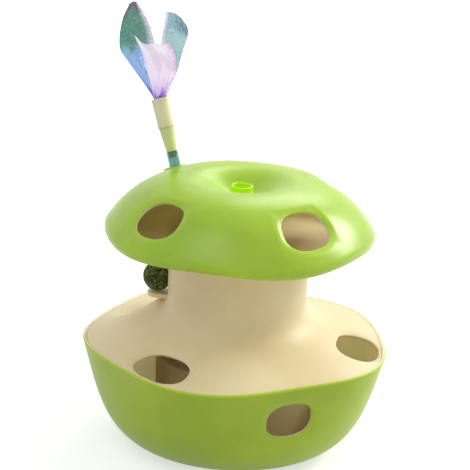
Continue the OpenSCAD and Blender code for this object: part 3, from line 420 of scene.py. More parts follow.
@dataclass
class LobedShell:
    """A thin lobed wall turned round the vertical axis, with rounded edges and paw holes.

    A point is named by its bearing, the distance along the profile and its depth, the share
    of the wall between the outer face (0) and the inner face (1). Its radius and height are
    the profile's, moved inwards along the normal by depth times the wall, and its radius is
    then lobed. Each paw hole takes the place of a rectangle of the grid: rings of points run
    from the rectangle to the hole, over the rounded lip and back to the same rectangle inside.
    """

    profile: Profile
    wall: Array
    lobes: Lobes
    weight: Array
    holes: Sequence[PawHole] = ()
    pole: bool = False
    columns: int = 240
    step: float = 2.2
    press: Optional[Callable[[Array, Array], Array]] = None

    def place(self, bearing: Array, along: Array, depth: Array) -> Array:
        """Points of the wall in millimetres.

        Args:
            bearing: bearings in radians.
            along: distances along the profile.
            depth: shares of the wall.

        Returns:
            The points, three numbers each.
        """
        p = self.profile
        wall, weight, r, z = p.at(along, self.wall, self.weight, p.r, p.z)
        normal_r, normal_z = p.at(along, p.normal_r, p.normal_z)
        r = (r - depth * wall * normal_r) * self.lobes.factor(bearing, weight)
        z = z - depth * wall * normal_z - self.lobes.drop(bearing, weight)
        points = around(bearing, r, z)
        return points if self.press is None else self.press(points, np.broadcast_to(depth, r.shape))

    def rows(self) -> tuple[Array, Array, int]:
        """The grid's rows: out along the profile, round the edge, back inside and round again.

        Returns:
            Each row's distance along the profile, its depth, and the number of outer rows.
        """
        half = self.wall[-1] / 2
        first = 0.0 if self.pole else half
        out = np.linspace(first, self.profile.length - half, int(self.profile.length / self.step) + 1)
        turn = np.linspace(0.0, np.pi, EDGE_ROWS + 2)[1:-1]
        along = [out, out[-1] + half * np.sin(turn), out[::-1]]
        depth = [0 * out, (1 - np.cos(turn)) / 2, 0 * out + 1]
        if not self.pole:
            along.append(out[0] - half * np.sin(turn))
            depth.append((1 + np.cos(turn)) / 2)
        return np.concatenate(along), np.concatenate(depth), len(out)

    def build(self, name: str) -> Object:
        """The shell as one closed mesh.

        Args:
            name: the piece's name.

        Returns:
            The object.
        """
        along, depth, outer = self.rows()
        inner_last = 2 * outer + EDGE_ROWS - 1
        bearing = np.linspace(-np.pi, np.pi, self.columns, endpoint=False)
        points = [self.place(bearing[None, :], along[:, None], depth[:, None]).reshape(-1, 3)]
        faces = grid_faces(len(along), self.columns, not self.pole, True)
        kept = np.ones((len(faces) // self.columns, self.columns), bool)
        patches = []
        for hole in self.holes:
            rows, cols = self.window(hole, along[:outer], bearing)
            gone = np.arange(*cols) % self.columns
            kept[rows[0]:rows[1], gone] = False
            kept[inner_last - rows[1]:inner_last - rows[0], gone] = False
            extra, quads = self.patch(hole, rows, cols, along, bearing, inner_last, sum(map(len, points)))
            points.append(extra)
            patches.append(quads)
        return mesh_object(name, np.concatenate(points), np.concatenate([faces[kept.ravel()], *patches]))

    def window(self, hole: PawHole, along: Array, bearing: Array) -> tuple[tuple[int, int], tuple[int, int]]:
        """The rectangle of grid rows and columns that clears a hole by its border.

        Args:
            hole: the hole.
            along: the outer rows' distances.
            bearing: the columns' bearings.

        Returns:
            First and last row, and first and last column, which may pass the grid's end.
        """
        reach = hole.height / 2 + hole.border
        low, high = np.searchsorted(along, [hole.along - reach, hole.along + reach])
        rows = max(int(low) - 1, 0), min(int(high), len(along) - 1)
        r, = self.profile.at(hole.along, self.profile.r)
        pitch = bearing[1] - bearing[0]
        side = (hole.width / 2 + hole.border) / r / pitch
        middle = (math.radians(hole.bearing) - bearing[0]) / pitch
        return rows, (math.floor(middle - side), math.ceil(middle + side))

    def patch(self, hole: PawHole, rows: tuple[int, int], cols: tuple[int, int], along: Array,
              bearing: Array, inner_last: int, first: int) -> tuple[Array, Array]:
        """Rings of points between a hole's rectangle and its edge, outside and inside.

        Args:
            hole: the hole.
            rows, cols: its rectangle.
            along, bearing: the grid's rows and columns.
            inner_last: number of the inner row that lies behind outer row 0.
            first: number that the first new point gets.

        Returns:
            The new points and the faces.
        """
        tall, wide = rows[1] - rows[0], cols[1] - cols[0]
        i = np.concatenate([np.full(wide, rows[0]), np.arange(*rows),
                            np.full(wide, rows[1]), np.arange(rows[1], rows[0], -1)])
        j = np.concatenate([np.arange(*cols), np.full(tall, cols[1]),
                            np.arange(cols[1], cols[0], -1), np.full(tall, cols[0])])
        wall, r = self.profile.at(hole.along, self.wall, self.profile.r)
        b = along[i] - hole.along
        a = (bearing[0] + j * (bearing[1] - bearing[0]) - math.radians(hole.bearing)) * r
        angle = np.arctan2(b / hole.height, a / hole.width)
        way = np.stack([np.cos(angle), np.sin(angle)], axis=-1)
        way = way * (np.abs(way) ** hole.power).sum(axis=-1, keepdims=True) ** (-1 / hole.power)
        turn = np.linspace(0.0, np.pi / 2, LIP_STEPS)
        lip_out = hole.lip * np.concatenate([1 - np.sin(turn), 1 - np.cos(turn)])
        lip_depth = hole.lip / wall * np.concatenate([1 - np.cos(turn), wall / hole.lip - 1 + np.sin(turn)])
        edge = (np.array([hole.width, hole.height]) / 2 + lip_out[:, None, None]) * way
        border = np.stack([a, b], axis=-1)
        t = np.linspace(1.0, 0.0, BORDER_RINGS + 2)[1:-1, None, None] ** BORDER_EASE
        rings = np.concatenate([edge[:1] + t * (border - edge[:1]), edge,
                                edge[-1:] + t[::-1] * (border - edge[-1:])])
        curl = hole.sag * (1 - t[:, 0, 0]) ** 2
        depth = np.concatenate([curl, hole.sag + lip_depth, 1 + curl[::-1]])
        points = self.place(math.radians(hole.bearing) + rings[..., 0] / r,
                            hole.along + rings[..., 1], depth[:, None])
        new = first + np.arange(points.shape[0] * points.shape[1]).reshape(points.shape[:2])
        column = j % self.columns
        ids = np.concatenate([(i * self.columns + column)[None], new,
                              ((inner_last - i) * self.columns + column)[None]])
        return points.reshape(-1, 3), ids.ravel()[grid_faces(len(ids), ids.shape[1], False, True)]


# Finishes

def linear(red: int, green: int, blue: int) -> Colour:
    """A screen colour (0 to 255) as the linear values that the shaders take.

    Args:
        red, green, blue: the screen colour.

    Returns:
        The linear colour.
    """
    scaled = np.array([red, green, blue]) / 255.0
    low, high = scaled / 12.92, ((scaled + 0.055) / 1.055) ** 2.4
    return tuple(float(x) for x in np.where(scaled <= 0.04045, low, high))


class Wiring:
    """Adds nodes to a tree and links their sockets by name."""

    def __init__(self, tree: bpy.types.NodeTree) -> None:
        """Keeps the tree that the nodes go into."""
        self.tree = tree

    def add(self, kind: str, settings: Optional[dict] = None, **values: object) -> Node:
        """A new node.

        Args:
            kind: the node's type without its ShaderNode prefix.
            settings: properties of the node itself.
            values: values of its inputs or sockets to link to them, as feed takes them.

        Returns:
            The node.
        """
        node = self.tree.nodes.new("ShaderNode" + kind)
        for key, value in (settings or {}).items():
            setattr(node, key, value)
        self.feed(node, **values)
        return node

    def feed(self, node: Node, **values: object) -> None:
        """Sets a node's inputs, or links sockets to them, by name with _ for a space or as in_0, in_1.

        Args:
            node: the node.
            values: a value or a socket for each input.
        """
        for key, value in values.items():
            socket = self.socket(node, key)
            if isinstance(value, Socket):
                self.tree.links.new(value, socket)
            else:
                socket.default_value = (*value, 1.0) if socket.type == "RGBA" else value

    @staticmethod
    def socket(node: Node, key: str) -> Socket:
        """The enabled input whose name is key, with _ for a space, or whose number it ends in.

        Args:
            node: the node.
            key: the input's name or number.

        Returns:
            The input.
        """
        if key.startswith("in_"):
            return node.inputs[int(key[3:])]
        wanted = key.replace("_", " ").lower()
        return next(s for s in node.inputs if s.enabled and s.name.lower() == wanted)

    def node(self, kind: str) -> Node:
        """The tree's first node of a type."""
        return next(n for n in self.tree.nodes if n.type == kind)

    def where(self) -> Socket:
        """Object coordinates."""
        return self.add("TexCoord").outputs["Object"]

    def math(self, operation: str, a: object, b: object = 0.0, c: object = 0.0) -> Socket:
        """The output of a Math node on two or three values."""
        return self.add("Math", {"operation": operation}, in_0=a, in_1=b, in_2=c).outputs[0]

    def vector(self, operation: str, **values: object) -> Node:
        """A Vector Math node."""
        return self.add("VectorMath", {"operation": operation}, **values)

    def mix(self, share: object, a: object, b: object) -> Socket:
        """The colour that lies share of the way from a to b."""
        return self.add("Mix", {"data_type": "RGBA"}, in_0=share, in_6=a, in_7=b).outputs[2]

    def band(self, value: object, low: float, high: float, to_low: float = 0.0,
             to_high: float = 1.0) -> Socket:
        """A value carried smoothly from low..high to to_low..to_high, held at the ends.

        Args:
            value: the value.
            low, high: where it starts and ends.
            to_low, to_high: what these become.

        Returns:
            The new value.
        """
        node = self.add("MapRange", {"interpolation_type": "SMOOTHSTEP"}, in_0=value, in_1=low,
                        in_2=high, in_3=to_low, in_4=to_high)
        return node.outputs[0]

    def noise(self, where: object, scale: object, detail: float = 2.0, rough: float = 0.5) -> Socket:
        """The value of a noise field, from 0 to 1."""
        node = self.add("TexNoise", None, Vector=where, Scale=scale, Detail=detail, Roughness=rough)
        return node.outputs[0]

    def stretched(self, where: object, scale: Sequence[float], turn: Sequence[float] = (0, 0, 0)) -> Socket:
        """Coordinates turned and scaled along each axis."""
        return self.add("Mapping", None, Vector=where, Rotation=turn, Scale=scale).outputs[0]

    def cells(self, where: object, scale: float) -> tuple[Node, Sequence[Socket]]:
        """A field of cells, and the three parts of each cell's own chance colour."""
        node = self.add("TexVoronoi", None, Vector=where, Scale=scale)
        return node, self.add("SeparateColor", None, Color=node.outputs["Color"]).outputs

    def bump(self, height: Socket, depth: float) -> Socket:
        """A normal bumped by a height field, depth metres from low to high."""
        return self.add("Bump", None, Strength=1.0, Distance=depth, Height=height).outputs[0]


Sockets = dict[str, Socket]


def moulded_skin(w: Wiring, given: Sockets) -> Sockets:
    """Injection-moulded plastic: slow clouding of the tone, a fine matt grain and faint specks.

    Args:
        w: the group's wiring.
        given: the group's input sockets by name.

    Returns:
        The sockets for the group's outputs by name.
    """
    where = w.where()
    slow = w.noise(where, given["Slow scale"], 3.0, 0.55)
    grain = w.noise(where, given["Grain scale"], 2.0, 0.6)
    speck = w.band(w.noise(where, 420.0, 1.0), 0.70, 0.78)
    tone = w.mix(w.band(slow, 0.32, 0.70), given["Shade"], given["Colour"])
    tone = w.mix(w.math("MULTIPLY", speck, 0.10), tone, given["Shade"])
    rough = w.math("ADD", given["Rough"], w.math("MULTIPLY_ADD", grain, 0.16, -0.08))
    rough = w.math("ADD", rough, w.math("MULTIPLY_ADD", slow, 0.12, -0.06))
    return {"Colour": tone, "Roughness": rough, "Height": grain}


def handling_scuffs(w: Wiring, given: Sockets) -> Sockets:
    """Fine scratches in two directions, gathered in worn patches.

    Args:
        w: the group's wiring.
        given: the group's input sockets by name.

    Returns:
        The sockets for the group's outputs by name.
    """
    where = w.where()
    first = w.noise(w.stretched(where, (60, 900, 900), (0.3, 0.2, 0.5)), 1.0, 2.0, 0.7)
    second = w.noise(w.stretched(where, (900, 70, 900), (0.1, 0.7, 1.1)), 1.0, 2.0, 0.7)
    patch = w.band(w.noise(where, 34.0), 0.50, 0.72)
    lines = w.math("MAXIMUM", w.band(first, 0.66, 0.74), w.band(second, 0.67, 0.75))
    mask = w.math("MULTIPLY", w.math("MULTIPLY", lines, patch), given["Amount"])
    return {"Colour": w.mix(mask, given["Colour"], given["Worn colour"])}


def short_pile(w: Wiring, given: Sockets) -> Sockets:
    """Short plush or felt: fibre tips that catch light between darker roots.

    Args:
        w: the group's wiring.
        given: the group's input sockets by name.

    Returns:
        The sockets for the group's outputs by name.
    """
    where = w.where()
    fibre = w.noise(w.stretched(where, (0.45, 1, 1), (0.4, 0.3, 0.2)), given["Fibre scale"], 3.0, 0.65)
    height = w.math("MULTIPLY_ADD", w.noise(where, 320.0, 2.0, 0.6), 0.6, fibre)
    return {"Colour": w.mix(w.band(height, 0.55, 1.05), given["Root"], given["Tip"]), "Height": height}


def drawn_metal(w: Wiring, given: Sockets) -> Sockets:
    """Drawn or stamped metal: fine streaks along one direction and a few dull stains.

    Args:
        w: the group's wiring.
        given: the group's input sockets by name.

    Returns:
        The sockets for the group's outputs by name.
    """
    where = w.where()
    streak = w.noise(w.stretched(where, (120, 2600, 2600)), 1.0, 2.0, 0.6)
    stain = w.band(w.noise(where, 160.0, 3.0, 0.6), 0.52, 0.75)
    rough = w.math("ADD", given["Rough"], w.math("MULTIPLY_ADD", streak, 0.18, -0.09))
    return {"Colour": w.mix(w.math("MULTIPLY", stain, 0.5), given["Colour"], given["Stain"]),
            "Roughness": w.math("ADD", rough, w.math("MULTIPLY", stain, 0.15)), "Height": streak}


def inner_face(w: Wiring, given: Sockets) -> Sockets:
    """A mask of the faces that look back at a point on the upright axis, Height metres up.

    Args:
        w: the group's wiring.
        given: the group's input sockets by name.

    Returns:
        The sockets for the group's outputs by name.
    """
    coords = w.add("TexCoord").outputs
    middle = w.add("CombineXYZ", None, Z=given["Height"]).outputs[0]
    away = w.vector("SUBTRACT", in_0=coords["Object"], in_1=middle).outputs[0]
    way = w.vector("NORMALIZE", in_0=away).outputs[0]
    facing = w.vector("DOT_PRODUCT", in_0=way, in_1=coords["Normal"]).outputs["Value"]
    return {"Mask": w.band(facing, 0.05, 0.40, 1.0, 0.0)}


GREY = (0.5, 0.5, 0.5)
WHITE = (1.0, 1.0, 1.0)


class Effect(Enum):
    """The surface effects that finishes share: name, wiring, outputs and first values of the inputs."""

    MOULDED = ("Moulded skin", moulded_skin, ("Colour", "Roughness", "Height"),
               {"Colour": GREY, "Shade": GREY, "Slow scale": 18.0, "Grain scale": 1400.0, "Rough": 0.42})
    SCUFFS = ("Handling scuffs", handling_scuffs, ("Colour",),
              {"Colour": GREY, "Worn colour": GREY, "Amount": 0.2})
    PILE = ("Short pile", short_pile, ("Colour", "Height"),
            {"Tip": GREY, "Root": GREY, "Fibre scale": 2600.0})
    DRAWN = ("Drawn metal", drawn_metal, ("Colour", "Roughness", "Height"),
             {"Colour": GREY, "Stain": GREY, "Rough": 0.28})
    INNER = ("Inner face", inner_face, ("Mask",), {"Height": 0.1})

    def group(self) -> bpy.types.NodeTree:
        """The effect's node group, made when it is first asked for.

        Returns:
            The node group.
        """
        name, wire, outputs, inputs = self.value
        if name in bpy.data.node_groups:
            return bpy.data.node_groups[name]
        tree = bpy.data.node_groups.new(name, "ShaderNodeTree")
        for label, value in inputs.items():
            kind, first = ("Color", (*value, 1.0)) if isinstance(value, tuple) else ("Float", value)
            socket = tree.interface.new_socket(label, in_out="INPUT", socket_type="NodeSocket" + kind)
            socket.default_value = first
        for label in outputs:
            kind = "Color" if label == "Colour" else "Float"
            tree.interface.new_socket(label, in_out="OUTPUT", socket_type="NodeSocket" + kind)
        entry, leave = tree.nodes.new("NodeGroupInput"), tree.nodes.new("NodeGroupOutput")
        w = Wiring(tree)
        w.feed(leave, **wire(w, {s.name: s for s in entry.outputs}))
        return tree

    def placed(self, w: Wiring, **values: object) -> Sequence[Socket]:
        """The outputs of the effect in a material, with its own values as feed takes them.

        Args:
            w: the material's wiring.
            values: the group's inputs.

        Returns:
            The group node's outputs.
        """
        node = w.tree.nodes.new("ShaderNodeGroup")
        node.node_tree = self.group()
        w.feed(node, **values)
        return node.outputs


@dataclass(frozen=True)
class Finish:
    """What every finish has: a name, a main colour and a second colour for its variation."""

    name: str
    colour: Colour
    shade: Colour

    def make(self) -> Material:
        """A new material, wired by the finish.

        Returns:
            The material.
        """
        material = bpy.data.materials.new(self.name)
        material.use_nodes = True
        w = Wiring(material.node_tree)
        self.wire(w, w.node("BSDF_PRINCIPLED"))
        return material

    def wire(self, w: Wiring, shader: Node) -> None:
        """Gives the Principled shader its inputs.

        Args:
            w: the material's wiring.
            shader: the material's Principled shader.
        """
        raise NotImplementedError


@dataclass(frozen=True)
class Plastic(Finish):
    """Moulded plastic with a satin skin and light scuffs, which lets light in under its skin."""

    rough: float = 0.42
    grain: float = 1400.0
    depth: float = 0.00003
    scuff: float = 0.16
    worn: Colour = (0.8, 0.8, 0.7)
    glow: float = 0.4
    glow_tint: Colour = (1.0, 0.82, 0.56)
    glow_depth: float = 0.010

    def wire(self, w: Wiring, shader: Node) -> None:
        """Gives the shader a clouded, grained and scuffed skin.

        Args:
            w: the material's wiring.
            shader: the material's Principled shader.
        """
        skin = Effect.MOULDED.placed(w, Colour=self.colour, Shade=self.shade, Rough=self.rough,
                                     Grain_scale=self.grain)
        worn = Effect.SCUFFS.placed(w, Colour=skin["Colour"], Worn_colour=self.worn, Amount=self.scuff)
        w.feed(shader, Base_Color=self.tone(w, worn["Colour"]), Roughness=skin["Roughness"],
               Subsurface_Weight=self.glow, Subsurface_Radius=self.glow_tint,
               Subsurface_Scale=self.glow_depth, Normal=w.bump(skin["Height"], self.depth))

    def tone(self, w: Wiring, colour: Socket) -> Socket:
        """The colour that reaches the shader."""
        return colour


@dataclass(frozen=True)
class TwoShot(Plastic):
    """A shell moulded in two colours, the second on the faces that look back at its inside."""

    inner: Colour = (0.8, 0.7, 0.5)
    middle: float = 0.1

    def tone(self, w: Wiring, colour: Socket) -> Socket:
        """The outer colour, and the inner one where a face looks inwards."""
        return w.mix(Effect.INNER.placed(w, Height=self.middle)["Mask"], colour, self.inner)


@dataclass(frozen=True)
class Metal(Finish):
    """Plated or bare metal with drawing streaks."""

    rough: float = 0.28
    depth: float = 0.00001

    def wire(self, w: Wiring, shader: Node) -> None:
        """Gives the shader a streaked metal skin.

        Args:
            w: the material's wiring.
            shader: the material's Principled shader.
        """
        skin = Effect.DRAWN.placed(w, Colour=self.colour, Stain=self.shade, Rough=self.rough)
        w.feed(shader, Base_Color=skin["Colour"], Roughness=skin["Roughness"], Metallic=1.0,
               Normal=w.bump(skin["Height"], self.depth))


@dataclass(frozen=True)
class Plush(Finish):
    """Short plush or felt."""

    fibre: float = 2600.0
    depth: float = 0.0005

    def wire(self, w: Wiring, shader: Node) -> None:
        """Gives the shader a pile with a soft sheen.

        Args:
            w: the material's wiring.
            shader: the material's Principled shader.
        """
        pile = Effect.PILE.placed(w, Tip=self.colour, Root=self.shade, Fibre_scale=self.fibre)
        w.feed(shader, Base_Color=pile["Colour"], Roughness=0.95, Sheen_Weight=0.35, Sheen_Roughness=0.5,
               Normal=w.bump(pile["Height"], self.depth))


@dataclass(frozen=True)
class Clear(Finish):
    """Clear or tinted plastic that lets light through."""

    passes: float = 1.0
    rough: float = 0.06
    index: float = 1.47
    # colour of the painted shade on the slanting edges
    edge: Colour = (0.5, 0.6, 0.6)
    lets_light: float = 0.8
    depth: float = 0.000004

    def wire(self, w: Wiring, shader: Node) -> None:
        """Gives the shader a clear body whose slanting edges are darkened by painted shade, and whose shadow
        is light.

        Args:
            w: the material's wiring.
            shader: the material's Principled shader.
        """
        skin = Effect.MOULDED.placed(w, Colour=self.colour, Shade=self.shade, Slow_scale=60.0)
        # painted shade: the base colour runs to the edge colour where the surface slants away from the camera
        painted_slant_shade = w.band(w.add("LayerWeight", None, Blend=0.5).outputs["Facing"], 0.35, 0.9)
        w.feed(shader, Base_Color=w.mix(painted_slant_shade, skin["Colour"], self.edge), Roughness=self.rough,
               Transmission_Weight=self.passes, IOR=self.index, Normal=w.bump(skin["Height"], self.depth))
        shadow = w.math("MULTIPLY", w.add("LightPath").outputs["Is Shadow Ray"], self.lets_light)
        through = w.add("BsdfTransparent", None, Color=self.colour)
        mixed = w.add("MixShader", None, in_0=shadow, in_1=shader.outputs[0], in_2=through.outputs[0])
        w.feed(w.node("OUTPUT_MATERIAL"), Surface=mixed.outputs[0])


@dataclass(frozen=True)
class Leaf(Finish):
    """Pressed dried leaf: flakes of several greens with pale torn edges."""

    fleck: Colour = (0.3, 0.5, 0.1)
    flake: float = 420.0
    bend: float = 0.0022
    depth: float = 0.0011

    def wire(self, w: Wiring, shader: Node) -> None:
        """Gives the shader bent flakes, each with its own tone, under a fine crumble.

        Args:
            w: the material's wiring.
            shader: the material's Principled shader.
        """
        where = w.where()
        waver = w.add("TexNoise", None, Vector=where, Scale=300.0, Detail=2.0).outputs["Color"]
        bent = w.vector("MULTIPLY_ADD", in_0=waver, in_1=(self.bend,) * 3, in_2=where).outputs[0]
        flakes, chance = w.cells(w.stretched(bent, (1, 0.7, 1.3)), self.flake)
        tone = w.mix(w.band(chance[0], 0.1, 0.9), self.shade, self.colour)
        tone = w.mix(w.math("MULTIPLY", w.band(chance[1], 0.80, 0.86), 0.9), tone, self.fleck)
        fine = w.noise(where, 1500.0, 3.0, 0.65)
        tone = w.mix(w.band(fine, 0.35, 0.75, 0.55, 0.0), tone, self.shade)
        height = w.math("MULTIPLY_ADD", fine, 0.5, w.math("MULTIPLY", flakes.outputs["Distance"], -0.6))
        w.feed(shader, Base_Color=tone, Roughness=0.9, Normal=w.bump(height, self.depth))


@dataclass(frozen=True)
class Film(Finish):
    """Thin pearly film: tint from root to tip, a glittering edge with painted highlight specks, and
    see-through in part.
    """

    tip: Colour = (0.4, 0.4, 0.6)
    edge: Colour = (0.9, 0.8, 0.95)
    edge_from: float = 0.78
    edge_on_right: bool = True
    cover: float = 0.8
    fold_at: float = 0.8
    end: Colour = (0.8, 0.75, 0.9)
    pearl: float = 0.6
    layer: float = 420.0
    layer_index: float = 1.7
    # colour of the painted highlight specks that stand for the edge's glitter
    painted_glint: Colour = (0.95, 0.93, 1.0)
    depth: float = 0.0005

    def wire(self, w: Wiring, shader: Node) -> None:
        """Gives the shader its tints: UV u runs across the petal and v from its root to its tip.

        Args:
            w: the material's wiring.
            shader: the material's Principled shader.
        """
        spot = w.add("SeparateXYZ", None, Vector=w.add("TexCoord").outputs["UV"]).outputs
        where = w.where()
        drift = w.noise(w.stretched(where, (1, 1, 0.4)), 90.0, 3.0, 0.6)
        rise = w.math("MULTIPLY_ADD", drift, 0.3, w.math("ADD", spot[1], -0.15))
        tone = w.mix(w.band(rise, 0.0, 0.45), self.shade, self.colour)
        tone = w.mix(w.band(rise, self.fold_at - 0.05, self.fold_at + 0.05), tone, self.tip)
        tone = w.mix(w.band(rise, 0.84, 0.97), tone, self.end)
        side = spot[0] if self.edge_on_right else w.math("SUBTRACT", 1.0, spot[0])
        ragged = w.math("MULTIPLY_ADD", drift, 0.10, w.math("ADD", side, -0.05))
        border = w.band(ragged, self.edge_from, 0.97)
        # painted highlight: bright specks in random cells near the edge, set into the base colour as the
        # glitter's glints
        _, chance = w.cells(where, 900.0)
        painted_glint_share = w.math("MULTIPLY", w.band(chance[0], 0.62, 0.9), w.band(border, 0.0, 1.0, 0.12, 0.8))
        tone = w.mix(w.math("MULTIPLY", border, 0.85), tone, self.edge)
        crinkle = w.noise(w.stretched(where, (1, 1, 0.35)), 420.0, 3.0, 0.6)
        w.feed(shader, Base_Color=w.mix(painted_glint_share, tone, self.painted_glint),
               Alpha=w.band(border, 0.0, 1.0, self.cover, 0.97),
               Roughness=w.band(drift, 0.3, 0.7, 0.14, 0.26), Metallic=self.pearl,
               Thin_Film_Thickness=self.layer, Thin_Film_IOR=self.layer_index,
               Normal=w.bump(crinkle, self.depth))


GREEN = Plastic("satin_green", linear(179, 210, 44), linear(169, 200, 36), rough=0.32,
                worn=linear(196, 228, 120))
BOWL_GREEN = TwoShot("satin_green_bowl", GREEN.colour, GREEN.shade, rough=0.42, worn=GREEN.worn, glow=0.85,
                     inner=linear(253, 241, 206), middle=0.084)
CAP_GREEN = TwoShot("satin_green_cap", linear(174, 214, 38), linear(164, 204, 31), rough=0.30,
                    worn=GREEN.worn, glow=0.85, inner=linear(253, 241, 206), middle=0.150)
CREAM = Plastic("satin_cream", linear(250, 231, 186), linear(243, 222, 173), rough=0.46,
                worn=linear(250, 240, 215), scuff=0.10)
# The edge colours of the clear finishes are painted shade on their slanting edges; the tube's is dark.
STEM_GREEN = Clear("clear_lime", linear(214, 252, 40), linear(204, 246, 28), passes=0.1, rough=0.16,
                   edge=linear(206, 248, 24))
CLEAR_TUBE = Clear("clear_tube_wall", linear(150, 188, 178), linear(132, 170, 162), rough=0.03,
                   edge=linear(34, 72, 66))
LURE_CREAM = Plastic("lure_cream", linear(244, 239, 202), linear(236, 230, 190), rough=0.5, scuff=0.08)
LURE_PALE = Plastic("lure_pale_green", linear(228, 236, 172), linear(218, 226, 160), rough=0.45, scuff=0.05)
NYLON = Plastic("white_nylon_gear", linear(236, 235, 228), linear(220, 219, 211), rough=0.38, scuff=0.05)
DARK = Plastic("dark_moulding", linear(58, 59, 62), linear(44, 45, 48), rough=0.5, worn=linear(110, 110, 112))
RUBBER = Plastic("soft_rubber", linear(52, 52, 54), linear(38, 38, 40), rough=0.8, grain=2200.0,
                 depth=0.00008)
CELL = Plastic("cell_sleeve", linear(64, 88, 120), linear(50, 72, 102), rough=0.3, scuff=0.12)
BOARD = Plastic("board_lacquer", linear(38, 96, 62), linear(28, 78, 50), rough=0.35, grain=3000.0)
STEEL = Metal("plated_steel", linear(196, 198, 202), linear(150, 150, 150))
BRASS = Metal("turned_brass", linear(206, 172, 100), linear(160, 124, 70))
PLUSH = Plush("grey_plush", linear(150, 146, 142), linear(92, 88, 86))
FELT = Plush("pink_felt", linear(222, 168, 164), linear(176, 118, 116), fibre=1800.0, depth=0.0003)
LEAF = Leaf("pressed_leaf", linear(92, 106, 54), linear(46, 54, 30), fleck=linear(120, 176, 52))
EYE = Plastic("bead_black", linear(26, 24, 24), linear(18, 17, 17), rough=0.12, scuff=0.0)
FILM_LEFT = Film("film_blue", linear(140, 180, 232), linear(150, 160, 244), tip=linear(74, 146, 128),
                 edge=linear(230, 216, 244), edge_from=0.74, cover=0.86, fold_at=0.55,
                 end=linear(104, 96, 116))
FILM_RIGHT = Film("film_teal", linear(164, 208, 212), linear(160, 186, 236), tip=linear(122, 170, 182),
                  edge=linear(236, 216, 250), edge_from=0.78, edge_on_right=False, cover=0.75, fold_at=0.77,
                  end=linear(134, 178, 196))
FILM_FRONT = Film("film_pink", linear(248, 230, 252), linear(198, 150, 246), tip=linear(250, 240, 253),
                  edge=linear(224, 160, 226), edge_from=0.88, cover=0.85,
                  end=linear(240, 236, 250))


class Palette:
    """Makes each finish once and hands out its material."""

    def __init__(self) -> None:
        """Starts with no material made."""
        self.made: dict[str, Material] = {}

    def get(self, finish: Finish) -> Material:
        """The finish's material.

        Args:
            finish: the finish.

        Returns:
            Its material.
        """
        if finish.name not in self.made:
            self.made[finish.name] = finish.make()
        return self.made[finish.name]

    def dress_node(self, node: str, finish: Finish) -> None:
        """Gives a carried-over node one finish on all its material slots."""
        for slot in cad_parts[node].material_slots:
            slot.material = self.get(finish)


# Sub-assemblies

RIM_LOBES = Lobes(((5, 0.0343, 60.9), (3, 0.0208, 97.1)))
BALL_AT = (-63.03, 11.11, 128.0)


@dataclass
class SubAssembly:
    """A group of pieces that one class makes, dresses and puts on their bodies."""

    palette: Palette
    pieces: list[Object] = field(default_factory=list)

    def settle(self, obj: Object, finish: Finish, body: str, slot: str, *nodes: str) -> Object:
        """Dresses a piece, puts it on its body and lets it stand for its nodes.

        Args:
            obj: the piece.
            finish: its finish.
            body: the body that it moves with.
            slot: the record's material slot; not used.
            nodes: the nodes that it stands for.

        Returns:
            The piece.
        """
        obj.data.materials.clear()
        obj.data.materials.append(self.palette.get(finish))
        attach(obj, body)
        if nodes:
            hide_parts(*nodes)
        self.pieces.append(obj)
        return obj


